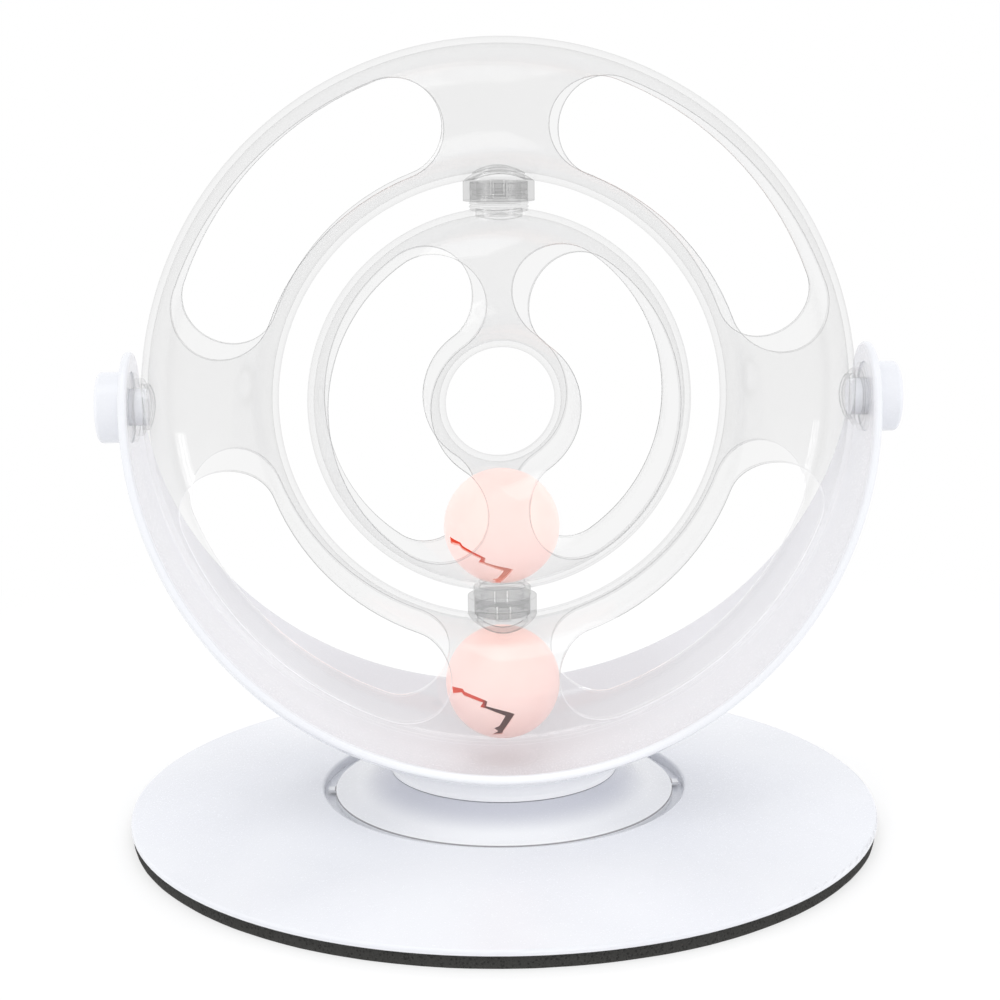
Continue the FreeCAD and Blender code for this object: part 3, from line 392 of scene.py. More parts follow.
def white_plastic(name, colour):
    """Glossy white with a faint orange peel and fine scuffs."""
    finish = Finish(name)
    cloud = finish.noise(CLOUD_PATCH, detail=3.0)
    peel = finish.relief(finish.noise(PEEL_PATCH, detail=1.0), PEEL_DEPTH)
    scuffs = finish.noise(SCUFF_PATCH, detail=3.0, rough=0.7).band(*SCUFF_BAND)
    return finish.surface(finish.plastic(
        Base_Color=colour(finish),
        Roughness=cloud * CLOUD_ROUGH + scuffs * SCUFF_ROUGH + WHITE_ROUGH,
        IOR=PLASTIC_IOR,
        Normal=finish.relief(scuffs, SCUFF_DEPTH, before=peel),
    ))


white = white_plastic("white_plastic", plain_colour)
hub_white = white_plastic("white_plastic_hub", hub_colour)
bracket_white = white_plastic("white_plastic_bracket", bracket_colour)
print("made", white.name, hub_white.name, bracket_white.name)

# %% [markdown]
# The rings, necks and collars are clear styrene, moulded in halves and snapped
# together. Glass shaders bend every ray, and through four walls of a hollow ring that
# costs so many bends that edges end up black. These walls are thin and even, so in
# truth they hardly bend what lies behind them. What the eye sees is that each surface
# takes a little light and mirrors some of the pale room, much more where it is met at a
# slant. So a wall is a mix of a straight passage and a greyish mirror. The mirror draws
# the soft lines along every edge: darker than the backdrop, but lighter than the bowl
# behind. Sharp edges are found by comparing the true normal with one that is rounded
# off over half a millimetre, and mirror more. Beside the bowl the mirror gets a paler
# painted reflection and a faint painted glow, and the bosses on the ears get the same
# painted glow. The collars are thicker and take more light, except inside the ring's tube.
#
# The renderer follows a ray through eight straight passages only, so after the sixth a
# bending shader that bends by nothing carries on. On the face where two halves meet
# nothing is taken, because there the plastic goes on. Light that falls through the
# rings onto the rest meets only a thin film, so that the bowl stays as bright as it is.

# %% Clear plastic
PASS_THIN = (0.962, 0.962, 0.962)
PASS_THICK = (0.85, 0.85, 0.85)
PASS_FILM = (0.99, 0.99, 0.99)
PASS_ALL = (1.0, 1.0, 1.0)
MIRROR_OPEN = (0.95, 0.95, 0.95)
MIRROR_LINE = (0.38, 0.38, 0.38)
# a paler painted reflection and a faint painted glow beside the bowl, and the same glow on the ear bosses
PAINTED_MIRROR_BOWL = (0.96, 0.96, 0.97)
LINE_GAIN = 6.0
PAINTED_GLOW_BOWL = (0.17, 0.17, 0.174)
BLACK = (0.0, 0.0, 0.0)
RING_CENTRE = Vector((0.0, 0.0, 0.15))
# where the painted reflection and painted glow go: how far off the ring's centre, and up to which height, the
# bowl is near
BOWL_EDGE = (0.088, 0.108)
BOWL_RIM = (0.1, 0.175)
FACING_OPEN = 0.04
FACING_BOWL = 0.05
SOFT_CURVE, SOFT_SHARE = 3.0, 0.14
LINE_CURVE, LINE_SHARE = 12.0, 0.45
SLANT_BLEND = 0.5
EDGE_REACH = 0.6 * MM
EDGE_SAMPLES = 4
EDGE_BAND = (0.02, 0.2)
EDGE_SHARE = 0.75
COLLAR_EDGE_SHARE = 0.4
NECK_EDGE_SHARE = 0.3
MOST_SHARE = 0.9
# how far above or below the ring's centre a collar enters the tube
IN_THE_RING = (76.0 * MM, 77.0 * MM)
STRAIGHT_PASSAGES = 5.5
WAVE_PATCH, WAVE_DEPTH = 18.0 * MM, 0.08 * MM
HAIRLINE_PATCH, HAIRLINE_BAND = 0.9 * MM, (0.58, 0.75)
MIRROR_ROUGH, HAIRLINE_ROUGH = 0.04, 0.08
SEAM = 0.03 * MM
RING_TURN = math.radians(4.5)


def film(finish, colour):
    """Light that goes straight on."""
    return finish.node("ShaderNodeBsdfTransparent", {"Color": colour})


def passage(finish, colour):
    """Light that goes straight on, first by one shader and later by the other."""
    unbent = finish.node("ShaderNodeBsdfRefraction", {"Color": colour, "Roughness": 0.0, "IOR": 1.0})
    late = finish.ray("Transparent Depth").over(STRAIGHT_PASSAGES)
    return finish.mixed(late, film(finish, colour), unbent)


def edge_and_slant(finish, edge_share):
    """The mirror's share from sharp edges and from slanted walls."""
    rounded = finish.node("ShaderNodeBevel", {"Radius": EDGE_REACH}, samples=EDGE_SAMPLES)
    flat = finish.node("ShaderNodeNewGeometry", output="Normal")
    edge = (1.0 - finish.vector("DOT_PRODUCT", rounded, flat)).band(*EDGE_BAND) * edge_share
    slant = finish.node("ShaderNodeLayerWeight", {"Blend": SLANT_BLEND}, output="Facing")
    soft = slant.maths("POWER", slant, SOFT_CURVE) * SOFT_SHARE
    line = slant.maths("POWER", slant, LINE_CURVE) * LINE_SHARE
    return (soft + line + edge).at_most(MOST_SHARE)


def away_from_bowl(finish, on_ear):
    """1 away from the bowl, and 0 beside the bowl and on the ears, where the painted glow goes."""
    spot = finish.node("ShaderNodeNewGeometry", output="Position")
    reach = finish.vector("LENGTH", finish.vector("SUBTRACT", spot, RING_CENTRE))
    over_rim = finish.part(spot, "Z").band(*BOWL_RIM)
    return 1.0 - reach.band(*BOWL_EDGE) * (1.0 if on_ear else 1.0 - over_rim)


def pale_mirror(finish, share, no_painted_glow, on_ear):
    """A mirror with flow waves and hairline scratches, greyer where its share is larger. Beside the bowl its
    colour is a paler painted reflection, and there and on the ears it has a faint painted glow.
    """
    hairlines = finish.noise(HAIRLINE_PATCH, detail=2.0, rough=0.65).band(*HAIRLINE_BAND)
    tone = finish.blend((share * LINE_GAIN).at_most(1.0), MIRROR_OPEN, MIRROR_LINE)
    # beside the bowl the colour is a paler painted reflection, and the emission is a painted glow there and
    # on the ears
    return finish.plastic(
        Base_Color=tone if on_ear else finish.blend(no_painted_glow, PAINTED_MIRROR_BOWL, tone),
        Metallic=1.0,
        Roughness=hairlines * HAIRLINE_ROUGH + MIRROR_ROUGH,
        Normal=finish.relief(finish.noise(WAVE_PATCH, detail=1.0), WAVE_DEPTH),
        Emission_Color=finish.blend(no_painted_glow, PAINTED_GLOW_BOWL, BLACK),
        Emission_Strength=1.0,
    )


def clear_plastic(name, edge_share=EDGE_SHARE, seam_normal=None, thick=False, on_ear=False):
    """Clear walls. The seam of two halves is left out, thick walls take more light, and
    pieces on an ear get the painted glow that walls beside the bowl get."""
    finish = Finish(name)
    # the mask for the painted reflection and painted glow beside the bowl and on the ears
    no_painted_glow = away_from_bowl(finish, on_ear)
    slanted = edge_and_slant(finish, edge_share)
    mirror = pale_mirror(finish, slanted, no_painted_glow, on_ear)
    share = slanted + no_painted_glow * (FACING_OPEN - FACING_BOWL) + FACING_BOWL
    through = passage(finish, PASS_THIN)
    if thick:
        level = (finish.part(finish.place, "Z") - RING_CENTRE.z).size()
        through = finish.mixed(level.band(*IN_THE_RING), passage(finish, PASS_THICK), through)
    shader = finish.mixed(share * (1.0 - finish.ray("Is Glossy Ray")), through, mirror)
    shader = finish.mixed(finish.ray("Is Diffuse Ray"), shader, passage(finish, PASS_FILM))
    shader = finish.mixed(finish.ray("Is Shadow Ray"), shader, film(finish, PASS_FILM))
    if seam_normal:
        level = finish.vector("DOT_PRODUCT", finish.place, seam_normal).size()
        shader = finish.mixed(1.0 - level.over(SEAM), shader, film(finish, PASS_ALL))
    return finish.surface(shader)


collar_clear = clear_plastic("clear_plastic_thick", edge_share=COLLAR_EDGE_SHARE, thick=True)
neck_clear = clear_plastic("clear_plastic_necks", edge_share=NECK_EDGE_SHARE)
boss_clear = clear_plastic("clear_plastic_bosses", on_ear=True)
outer_clear = clear_plastic("clear_plastic_outer", seam_normal=(0.0, 1.0, 0.0))
inner_clear = clear_plastic(
    "clear_plastic_inner", seam_normal=(-math.sin(RING_TURN), math.cos(RING_TURN), 0.0))
clear_finishes = (collar_clear, neck_clear, boss_clear, outer_clear, inner_clear)
print("made", ", ".join(material.name for material in clear_finishes))

# %% [markdown]
# Each ball is a thin pink shell with a jagged crack cut through its front. The skin is
# satin, with a faint painted glow so that it stays pale in its own shade. The cut edge
# is the same plastic with a paler painted highlight. What shows through the crack is the
# inside, all painted glow on black: orange red near the wide end, and then dark in the
# lower ball and rose in the upper one. All three are told apart by how deep a point lies
# under the skin, which is the ball's radius less the distance from its centre.

# %% Pink plastic
SKIN = (0.98, 0.76, 0.71)
SKIN_CLOUD = (0.97, 0.735, 0.685)
# painted glow on the skin
SKIN_PAINTED_GLOW = (0.12, 0.055, 0.045)
# painted highlight on the cut edge of the crack
CUT_PAINTED_HIGHLIGHT = (0.98, 0.84, 0.79)
# painted glow inside the crack, on a black base colour
PAINTED_GLOW_RED = (0.72, 0.06, 0.025)
PAINTED_GLOW_DARK = (0.075, 0.035, 0.03)
PAINTED_GLOW_ROSE = (0.6, 0.22, 0.17)
BALL_WALL = 1.2 * MM
CUT_DEPTH = (0.1 * BALL_WALL, 0.3 * BALL_WALL)
INSIDE_DEPTH = (0.85 * BALL_WALL, 0.97 * BALL_WALL)
RED_END = (-8.0 * MM, -5.0 * MM)
RED_FRAY = 0.3
SKIN_PATCH = 12.0 * MM
GRAIN_PATCH, GRAIN_DEPTH = 0.9 * MM, 0.012 * MM
SKIN_ROUGH, SKIN_CLOUD_ROUGH, GRAIN_ROUGH = 0.24, 0.1, 0.06


def ball_plastic(name, far_painted_glow):
    """Satin pink skin with a faint painted glow, a cut edge with a paler painted highlight, and an inside of
    painted glow from red to far_painted_glow.
    """
    low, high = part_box(name)
    centre = (Vector(low) + Vector(high)) / 2
    radius = (high[0] - low[0]) / 2
    finish = Finish(name + "_plastic")
    out = finish.vector("SUBTRACT", finish.place, centre)
    depth = radius - finish.vector("LENGTH", out)
    inside = depth.band(*INSIDE_DEPTH)
    cloud = finish.noise(SKIN_PATCH, detail=2.0)
    grain = finish.noise(GRAIN_PATCH, detail=2.0)
    skin = finish.blend(cloud.band(*CLOUD_BAND), SKIN, SKIN_CLOUD)
    # the cut edge's paler colour is a painted highlight
    skin = finish.blend(depth.band(*CUT_DEPTH), skin, CUT_PAINTED_HIGHLIGHT)
    along = finish.part(out, "X").band(*RED_END)
    # the inside's painted glow, from red to the far colour
    glow = finish.blend(along + (grain - 0.5) * RED_FRAY, PAINTED_GLOW_RED, far_painted_glow)
    return finish.surface(finish.plastic(
        Base_Color=finish.blend(inside, skin, BLACK),
        Roughness=cloud * SKIN_CLOUD_ROUGH + grain * GRAIN_ROUGH + SKIN_ROUGH,
        IOR=PLASTIC_IOR,
        # painted glow on the skin and inside the crack
        Emission_Color=finish.blend(inside, SKIN_PAINTED_GLOW, glow),
        Emission_Strength=1.0,
        Normal=finish.relief(grain, GRAIN_DEPTH),
    ))


outer_pink = ball_plastic("outer_ball", PAINTED_GLOW_DARK)
inner_pink = ball_plastic("inner_ball", PAINTED_GLOW_ROSE)
print("made", outer_pink.name, inner_pink.name)

# %% [markdown]
# The rest is mostly out of sight under the hub, but shows from below and when the toy is
# taken apart: a dull self-lubricating plastic for the spindle and washer, a black switch,
# plated steel, the pale closed motor, two sleeved cells and a green board. Each is a
# small variation on the same shader, so each gets a function of a few lines.

# %% Finishes under the hub
NATURAL, NATURAL_SHADE = (0.8, 0.79, 0.75), (0.72, 0.71, 0.67)
NATURAL_PATCH, NATURAL_ROUGH, NATURAL_SPREAD = 10.0 * MM, 0.38, 0.1
TURNING_PITCH, TURNING_DEPTH = 0.6 * MM, 0.006 * MM

DARK, DARK_GREY = (0.014, 0.014, 0.015), (0.028, 0.028, 0.03)
DARK_PATCH, DARK_DEPTH = 0.3 * MM, 0.02 * MM
DARK_ROUGH, DARK_SPREAD = 0.42, 0.2

STEEL, STEEL_DULL, STEEL_ROUGH = (0.62, 0.62, 0.63), (0.5, 0.49, 0.47), 0.2
NICKEL, NICKEL_DULL, NICKEL_ROUGH = (0.72, 0.7, 0.66), (0.6, 0.57, 0.52), 0.15
TARNISH_PATCH, TARNISH_BAND, TARNISH_SPREAD = 4.0 * MM, (0.4, 0.7), 0.15
DRAWN_PATCH, DRAWN_DEPTH, DRAWN_SPREAD = 1.2 * MM, 0.006 * MM, 0.1
DRAWN_SQUEEZE = (1.0, 1.0, 12.0)

MOTOR, MOTOR_SHADE = (0.6, 0.58, 0.53), (0.52, 0.5, 0.46)
MOTOR_GRAIN, MOTOR_DEPTH, MOTOR_CLOUD = 0.5 * MM, 0.03 * MM, 12.0 * MM
MOTOR_ROUGH, MOTOR_SPREAD = 0.45, 0.15

SLEEVE, SLEEVE_LIGHT, CELL_METAL = (0.03, 0.035, 0.045), (0.42, 0.43, 0.45), (0.7, 0.69, 0.66)
BARE_END = (1.6 * MM, 1.3 * MM)
LIGHT_HALF = (0.0, 0.3 * MM)
CREASE_PATCH, CREASE_DEPTH = 2.0 * MM, 0.03 * MM
SLEEVE_ROUGH, SLEEVE_SPREAD, SLEEVE_COAT = 0.28, 0.12, 0.4

LACQUER, LACQUER_TRACK, BOARD_PAD = (0.01, 0.085, 0.035), (0.03, 0.17, 0.06), (0.7, 0.68, 0.6)
TRACK_SPACING, TRACK_BAND, PAD_BAND = 3.5 * MM, (0.09, 0.05), (0.2, 0.16)
WEAVE_PATCH, WEAVE_HEIGHT, BOARD_DEPTH = 0.8 * MM, 0.2, 0.03 * MM
BOARD_ROUGH, BOARD_SPREAD = 0.25, 0.1


def natural_plastic():
    """Milky plastic that slides without grease, with faint turning marks."""
    finish = Finish("natural_plastic")
    across = finish.vector("LENGTH", finish.vector("MULTIPLY", finish.place, FLAT))
    phase = across * (2 * math.pi / TURNING_PITCH)
    cloud = finish.noise(NATURAL_PATCH, detail=3.0)
    return finish.surface(finish.plastic(
        Base_Color=finish.blend(cloud, NATURAL, NATURAL_SHADE),
        Roughness=cloud * NATURAL_SPREAD + NATURAL_ROUGH,
        Normal=finish.relief(phase.maths("SINE", phase), TURNING_DEPTH),
    ))


def dark_plastic():
    """Black plastic with the fine grain of a spark-eroded mould."""
    finish = Finish("dark_plastic")
    grain = finish.noise(DARK_PATCH, detail=3.0, rough=0.7)
    return finish.surface(finish.plastic(
        Base_Color=finish.blend(grain, DARK, DARK_GREY),
        Roughness=grain * DARK_SPREAD + DARK_ROUGH,
        Normal=finish.relief(grain, DARK_DEPTH),
    ))


def plated_metal(name, bright, dull, rough):
    """Plated steel: bright, with cloudy tarnish and fine drawing lines."""
    finish = Finish(name)
    cloud = finish.noise(TARNISH_PATCH, detail=4.0, rough=0.6)
    squeezed = finish.vector("MULTIPLY", finish.place, DRAWN_SQUEEZE)
    lines = finish.noise(DRAWN_PATCH, detail=2.0, place=squeezed)
    return finish.surface(finish.plastic(
        Base_Color=finish.blend(cloud.band(*TARNISH_BAND), bright, dull),
        Metallic=1.0,
        Roughness=cloud * TARNISH_SPREAD + lines * DRAWN_SPREAD + rough,
        Normal=finish.relief(lines, DRAWN_DEPTH),
    ))


def motor_plastic():
    """Pale matt housing with a fine moulding grain."""
    finish = Finish("motor_plastic")
    grain = finish.noise(MOTOR_GRAIN, detail=3.0, rough=0.65)
    cloud = finish.noise(MOTOR_CLOUD, detail=2.0)
    return finish.surface(finish.plastic(
        Base_Color=finish.blend(cloud, MOTOR, MOTOR_SHADE),
        Roughness=grain * MOTOR_SPREAD + MOTOR_ROUGH,
        Normal=finish.relief(grain, MOTOR_DEPTH),
    ))


def cell_sleeve():
    """A dark shrunk sleeve with a light half, and bare metal at both ends."""
    low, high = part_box("battery_cells")
    bare, sleeved = BARE_END
    finish = Finish("cell_sleeve")
    along = finish.part(finish.place, "X")
    ends = along.size().band(high[0] - bare, high[0] - sleeved)
    crease = finish.noise(CREASE_PATCH, detail=3.0)
    sleeve = finish.blend(along.band(*LIGHT_HALF), SLEEVE, SLEEVE_LIGHT)
    return finish.surface(finish.plastic(
        Base_Color=finish.blend(ends, sleeve, CELL_METAL),
        Metallic=ends,
        Roughness=crease * SLEEVE_SPREAD + SLEEVE_ROUGH,
        Coat_Weight=SLEEVE_COAT,
        Normal=finish.relief(crease, CREASE_DEPTH),
    ))


def board_lacquer():
    """Green lacquer over copper tracks, with bare bright pads."""
    finish = Finish("board_lacquer")
    tracks = finish.cells(TRACK_SPACING, feature="DISTANCE_TO_EDGE").band(*TRACK_BAND)
    pads = finish.cells(TRACK_SPACING).band(*PAD_BAND)
    weave = finish.noise(WEAVE_PATCH, detail=2.0)
    lacquer = finish.blend(tracks, LACQUER, LACQUER_TRACK)
    return finish.surface(finish.plastic(
        Base_Color=finish.blend(pads, lacquer, BOARD_PAD),
        Metallic=pads,
        Roughness=weave * BOARD_SPREAD + BOARD_ROUGH,
        Normal=finish.relief(tracks + pads + weave * WEAVE_HEIGHT, BOARD_DEPTH),
    ))


hidden_finishes = {
    "natural": natural_plastic(),
    "dark": dark_plastic(),
    "steel": plated_metal("plated_steel", STEEL, STEEL_DULL, STEEL_ROUGH),
    "contact": plated_metal("nickel", NICKEL, NICKEL_DULL, NICKEL_ROUGH),
    "motor": motor_plastic(),
    "cell": cell_sleeve(),
    "board": board_lacquer(),
}
print("made", ", ".join(material.name for material in hidden_finishes.values()))

# %% [markdown]
# The finishes go onto the frame's own nodes by their material slots. The node keeps its
# mesh, because its shape is measured. Pieces whose finish belongs to one place or one
# shape, such as the rings with their seams, are picked by name.

# %% Finish the frame's nodes
by_slot = {"white": white, "clear": collar_clear, **hidden_finishes}
by_name = {
    "hub_cover": hub_white,
    "bracket": bracket_white,
    "outer_ring_front": outer_clear,
    "outer_ring_rear": outer_clear,
    "inner_ring_front": inner_clear,
    "inner_ring_rear": inner_clear,
    "neck_top": neck_clear,
    "neck_bottom": neck_clear,
    "side_boss_left": boss_clear,
    "side_boss_right": boss_clear,
    "pivot_washer_left": boss_clear,
    "pivot_washer_right": boss_clear,
    "outer_ball": outer_pink,
    "inner_ball": inner_pink,
}
for row in frame["record"]["subparts"]:
    material = by_name.get(row["node"]) or by_slot.get(row["material_slot"])
    if material:
        mesh = nodes[row["node"]].data
        mesh.materials.clear()
        mesh.materials.append(material)

# %% [markdown]
# Two things are made new: the foam pad and the screws. Both follow a rule, so Geometry
# Nodes make them. A Recipe is a tree with named sizes. It runs once, on an object whose
# points are the places where the shape belongs, and the result is kept as a plain mesh,
# which is what a file of the finished object needs.

# %% Recipes for shapes
class Recipe(Tree):
    """A Geometry Nodes tree with named sizes that grows one plain mesh."""

    def __init__(self, name):
        super().__init__(bpy.data.node_groups.new(name, "GeometryNodeTree"))
        self.sizes = {}
        for title, way in (("Places", "INPUT"), ("Shape", "OUTPUT")):
            self.tree.interface.new_socket(title, in_out=way, socket_type="NodeSocketGeometry")
        self.given = self.tree.nodes.new("NodeGroupInput")
        self.places = Signal(self, self.given.outputs["Places"])

    def named(self, title, value):
        """A named size of the tree. The modifier gets its value by the socket's identifier."""
        made = self.tree.interface.new_socket(title, in_out="INPUT", socket_type="NodeSocketFloat")
        self.sizes[made.identifier] = value
        return Signal(self, self.given.outputs[title])

    def grow(self, name, shape, material, places=()):
        """Close the tree, run it on the places and keep the result as a plain mesh."""
        solid = self.node("GeometryNodeRealizeInstances", {"Geometry": shape})
        solid = self.node("GeometryNodeSetMaterial", {"Geometry": solid, "Material": material})
        self.node("NodeGroupOutput", {"Shape": solid})
        seed = bpy.data.meshes.new(name)
        seed.from_pydata(places, [], [])
        piece = bpy.data.objects.new(name, seed)
        bpy.context.scene.collection.objects.link(piece)
        modifier = piece.modifiers.new("recipe", "NODES")
        modifier.node_group = self.tree
        for identifier, value in self.sizes.items():
            modifier[identifier] = value
        ready = piece.evaluated_get(bpy.context.evaluated_depsgraph_get())
        grown = bpy.data.meshes.new_from_object(ready)
        piece.modifiers.clear()
        piece.data = grown
        print(name, len(grown.polygons), "faces")
        return piece


print("recipes ready")

# %% [markdown]
# The pad under the foot is a ring of dark closed-cell foam, cut out with a knife and
# glued on, so that the toy doesn't slide or scratch. Foam never stays as flat as its
# drawing: the cut edge is drawn in a little at mid height, its corners are soft, and the
# line of the edge wavers. A rounded section is swept round a circle, and then a noise
# moves the points of the cut edge in and out.

# %% Foam finish
FOAM = (0.05, 0.049, 0.046)
FOAM_PORE = (0.018, 0.018, 0.017)
WIDE_PORE, WIDE_BAND, WIDE_SHARE = 1.1 * MM, (0.42, 0.2), 0.7
FINE_PORE, FINE_BAND, FINE_SHARE = 0.5 * MM, (0.45, 0.2), 0.3
FOAM_PATCH, PORE_TINT, PATCH_TINT = 6.0 * MM, 0.8, 0.2
FOAM_ROUGH, FOAM_SPREAD, PORE_DEPTH = 0.85, 0.1, 0.25 * MM


def foam_finish():
    """Dark matt foam with small open pores of two sizes where it is cut."""
    finish = Finish("foam")
    wide = finish.cells(WIDE_PORE).band(*WIDE_BAND)
    fine = finish.cells(FINE_PORE).band(*FINE_BAND)
    cloud = finish.noise(FOAM_PATCH, detail=3.0)
    depth = wide * WIDE_SHARE + fine * FINE_SHARE
    return finish.surface(finish.plastic(
        Base_Color=finish.blend(depth * PORE_TINT + cloud * PATCH_TINT, FOAM, FOAM_PORE),
        Roughness=cloud * FOAM_SPREAD + FOAM_ROUGH,
        Normal=finish.relief(1.0 - depth, PORE_DEPTH),
    ))


foam = foam_finish()
print("made", foam.name)

# %% Foam ring
FOAM_CORNER = 0.7 * MM
FOAM_WAVER = 0.35 * MM
FOAM_WAIST = 0.3 * MM
FOAM_SETBACK = 0.25 * FOAM_WAVER
FOAM_BORE = min(Vector(corner.co[:2]).length for corner in nodes["foam_pad"].data.vertices)
EDGE_START, EDGE_END = 3 * FOAM_CORNER, FOAM_CORNER
WAVER_PATCH = 14.0 * MM
RAIL_STEPS, SIDE_CUTS, CORNER_STEPS = 320, 5, 4


def edge_shift(recipe, radius, thick, waver, waist):
    """How far each point of the swept ring moves: only the cut edge, in and out."""
    spot = recipe.node("GeometryNodeInputPosition")
    flat = recipe.vector("MULTIPLY", spot, FLAT)
    edge = recipe.vector("LENGTH", flat).band(radius - EDGE_START, radius - EDGE_END)
    level = recipe.part(spot, "Z") * 2.0 / thick
    drawn_in = (1.0 - level * level) * waist
    uneven = recipe.node("ShaderNodeTexNoise", {
        "Vector": spot, "Scale": 1.0 / WAVER_PATCH, "Detail": 3.0,
    }) - 0.5
    push = (uneven * 2.0 * waver - drawn_in - FOAM_SETBACK) * edge
    return recipe.vector("SCALE", recipe.vector("NORMALIZE", flat), push)


def make_foam_ring():
    """A rounded section swept round the foot, with a wavering, slightly waisted cut edge."""
    low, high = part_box("foam_pad")
    recipe = Recipe("foam_ring")
    outer = recipe.named("Outer radius", high[0])
    inner = recipe.named("Inner radius", FOAM_BORE)
    thick = recipe.named("Thickness", high[2] - low[2])
    waver = recipe.named("Waver", FOAM_WAVER)
    waist = recipe.named("Waist", FOAM_WAIST)
    corner = recipe.named("Corner", FOAM_CORNER)
    rail = recipe.node("GeometryNodeCurvePrimitiveCircle", {
        "Resolution": RAIL_STEPS, "Radius": (outer + inner) * 0.5,
    })
    section = recipe.node("GeometryNodeCurvePrimitiveQuadrilateral", {
        "Width": outer - inner, "Height": thick,
    })
    section = recipe.node("GeometryNodeSubdivideCurve", {"Curve": section, "Cuts": SIDE_CUTS})
    section = recipe.node("GeometryNodeFilletCurve", {
        "Curve": section, "Count": CORNER_STEPS, "Radius": corner, "Limit Radius": True,
    }, mode="POLY")
    ring = recipe.node("GeometryNodeCurveToMesh", {"Curve": rail, "Profile Curve": section})
    lift = recipe.node("ShaderNodeCombineXYZ", {"Z": thick * 0.5})
    shift = recipe.vector("ADD", edge_shift(recipe, high[0], thick, waver, waist), lift)
    ring = recipe.node("GeometryNodeSetPosition", {"Geometry": ring, "Offset": shift})
    ring = recipe.node("GeometryNodeSetShadeSmooth", {"Geometry": ring, "Shade Smooth": True})
    piece = recipe.grow("foam_ring", ring, foam)
    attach(piece, "base")
    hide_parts("foam_pad")


make_foam_ring()
print("bore of the foam", round(FOAM_BORE / MM, 2), "mm")

# %% [markdown]
# Ten small screws hold the toy together: four up through the tub into the hub, two in
# the motor's ears, one in the battery door and three through the spindle into the
# bracket. All are the same kind, a low head with a cross recess on a threaded shank.
# The frame holds them as plain solids, whose separate islands give each screw's place
# and length. One recipe makes a screw with its head's face at the origin and sets it on
# each place, turned over where the head points down, and turned by a random angle about
# its own axis, because nobody drives screws to the same angle.

# %% Places of the screws
MERGE_REACH = 0.002 * MM
SCREWS = (
    # node, body, head points up
    ("cup_screws", "base", False),
    ("motor_screws", "base", True),
    ("door_screw", "base", False),
    ("spindle_screws", "bracket", False),
)


def islands(name):
    """Lowest and highest corner of each separate solid of a node, with the node's mesh
    merged first because it is loose triangles."""
    copy = bmesh.new()
    copy.from_mesh(nodes[name].data)
    bmesh.ops.remove_doubles(copy, verts=copy.verts, dist=MERGE_REACH)
    waiting = set(copy.verts)
    boxes = []
    while waiting:
        stack = [waiting.pop()]
        corners = []
        while stack:
            corner = stack.pop()
            corners.append(corner.co.copy())
            for side in corner.link_edges:
                other = side.other_vert(corner)
                if other in waiting:
                    waiting.discard(other)
                    stack.append(other)
        boxes.append((Vector(map(min, zip(*corners))), Vector(map(max, zip(*corners)))))
    copy.free()
    return sorted(boxes, key=lambda pair: tuple(pair[0]))


for name, body, head_up in SCREWS:
    print(name, len(islands(name)), "screws")

# %% Screws
HEAD_HEIGHT = 1.2 * MM
HEAD_RADIUS = 2.3 * MM
HEAD_TAPER = 0.86
HEAD_SIDES, HEAD_STEPS = 40, 3
RECESS_DEPTH = 0.75 * MM
RECESS_REACH, RECESS_WIDTH = 1.3, 0.27
SHANK_RADIUS = 1.25 * MM
SHANK_SIDES = 32
PITCH = 0.8 * MM
CORE_SHARE, RIDGE_SHARE, RIDGE_END = 0.4, 0.42, 0.45
TURN_STEPS, RIDGE_SIDES = 24, 3
HALF_TURN = math.pi


def lowered(recipe, shape, down):
    move = recipe.node("ShaderNodeCombineXYZ", {"Z": down * -1.0})
    return recipe.node("GeometryNodeTransform", {"Geometry": shape, "Translation": move})


def screw_head(recipe, height):
    """A low cone with its face at the origin and a cross cut into it."""
    radius = recipe.named("Head radius", HEAD_RADIUS)
    depth = recipe.named("Recess depth", RECESS_DEPTH)
    cone = recipe.node("GeometryNodeMeshCone", {
        "Vertices": HEAD_SIDES, "Side Segments": HEAD_STEPS, "Fill Segments": HEAD_STEPS,
        "Radius Top": radius * HEAD_TAPER, "Radius Bottom": radius, "Depth": height,
    })
    blade = recipe.node("ShaderNodeCombineXYZ", {
        "X": radius * RECESS_REACH, "Y": radius * RECESS_WIDTH, "Z": depth * 2.0,
    })
    blade = recipe.node("GeometryNodeMeshCube", {"Size": blade})
    crossed = recipe.node("GeometryNodeTransform", {"Geometry": blade, "Rotation": (0.0, 0.0, HALF_TURN / 2)})
    return recipe.node("GeometryNodeMeshBoolean", {
        "Mesh 1": lowered(recipe, cone, height), "Mesh 2": [blade, crossed],
    })


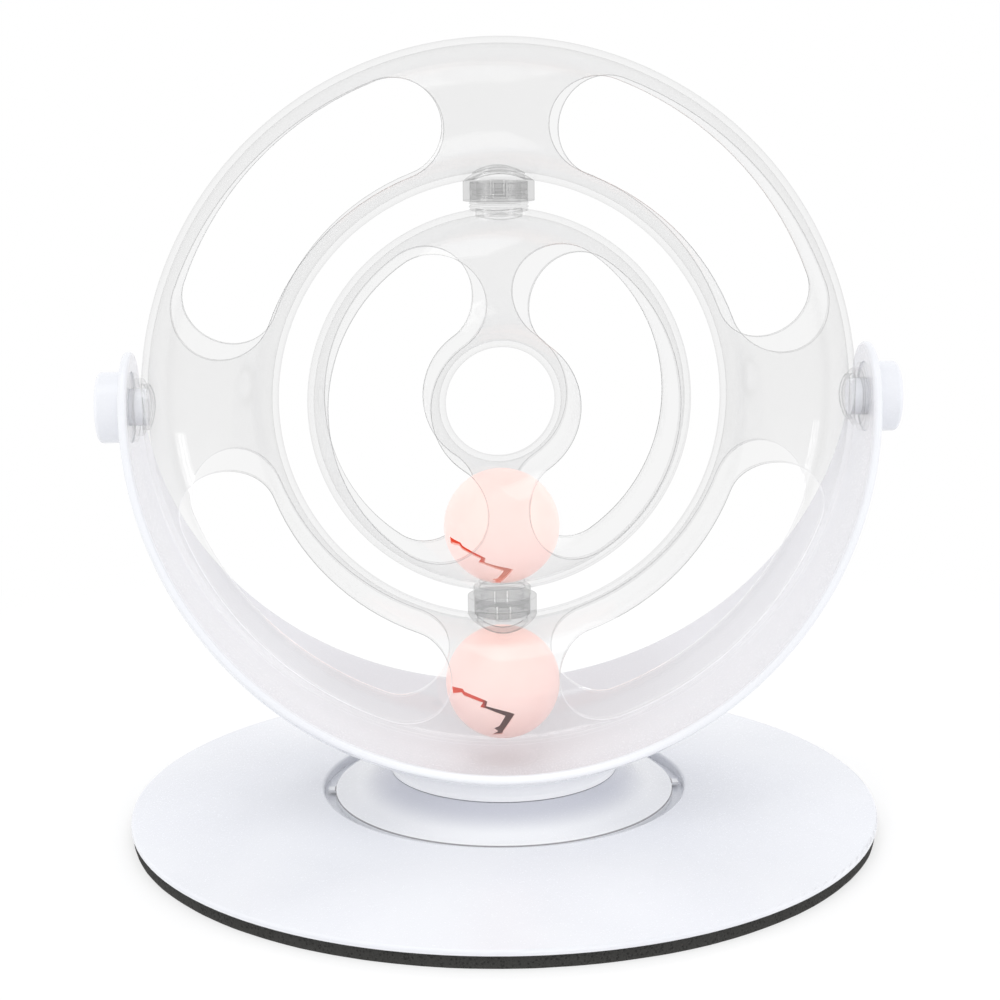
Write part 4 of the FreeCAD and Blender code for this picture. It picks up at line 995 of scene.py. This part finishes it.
def screw_shank(recipe, length, head_height):
    """A core that starts inside the head, and a thread that ends just before its tip."""
    pitch = recipe.named("Pitch", PITCH)
    core_radius = recipe.named("Shank radius", SHANK_RADIUS) - pitch * CORE_SHARE
    shank_length = length - head_height
    shank = recipe.node("GeometryNodeMeshCylinder", {
        "Vertices": SHANK_SIDES, "Radius": core_radius, "Depth": shank_length + head_height * 0.5,
    })
    spiral = recipe.node("GeometryNodeCurveSpiral", {
        "Resolution": TURN_STEPS, "Rotations": (shank_length - pitch) / pitch,
        "Start Radius": core_radius, "End Radius": core_radius, "Height": shank_length - pitch,
    })
    ridge = recipe.node("GeometryNodeCurvePrimitiveCircle", {
        "Resolution": RIDGE_SIDES, "Radius": pitch * RIDGE_SHARE,
    })
    thread = recipe.node("GeometryNodeCurveToMesh", {
        "Curve": spiral, "Profile Curve": ridge, "Fill Caps": True,
    })
    return [
        lowered(recipe, shank, (length + head_height * 0.5) * 0.5),
        lowered(recipe, thread, length - pitch * RIDGE_END),
    ]


def make_screws(name, body, head_up, seed):
    """Cross-head screws that stand in for the plain ones of a node."""
    boxes = islands(name)
    recipe = Recipe(name + "_recipe")
    head_height = recipe.named("Head height", HEAD_HEIGHT)
    length = recipe.named("Length", boxes[0][1].z - boxes[0][0].z)
    screw = recipe.node("GeometryNodeJoinGeometry", {
        "Geometry": [screw_head(recipe, head_height), *screw_shank(recipe, length, head_height)],
    })
    spin = recipe.node("FunctionNodeRandomValue", {
        "Min": 0.0, "Max": HALF_TURN, "Seed": seed,
    }, data_type="FLOAT")
    turn = recipe.node("ShaderNodeCombineXYZ", {"X": 0.0 if head_up else HALF_TURN, "Z": spin})
    screws = recipe.node("GeometryNodeInstanceOnPoints", {
        "Points": recipe.places, "Instance": screw, "Rotation": turn,
    })
    places = []
    for low, high in boxes:
        middle = (low + high) / 2
        places.append((middle.x, middle.y, high.z if head_up else low.z))
    piece = recipe.grow("cross_head_" + name, screws, hidden_finishes["steel"], places)
    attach(piece, body)
    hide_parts(name)


for seed, (name, body, head_up) in enumerate(SCREWS):
    make_screws(name, body, head_up, seed)
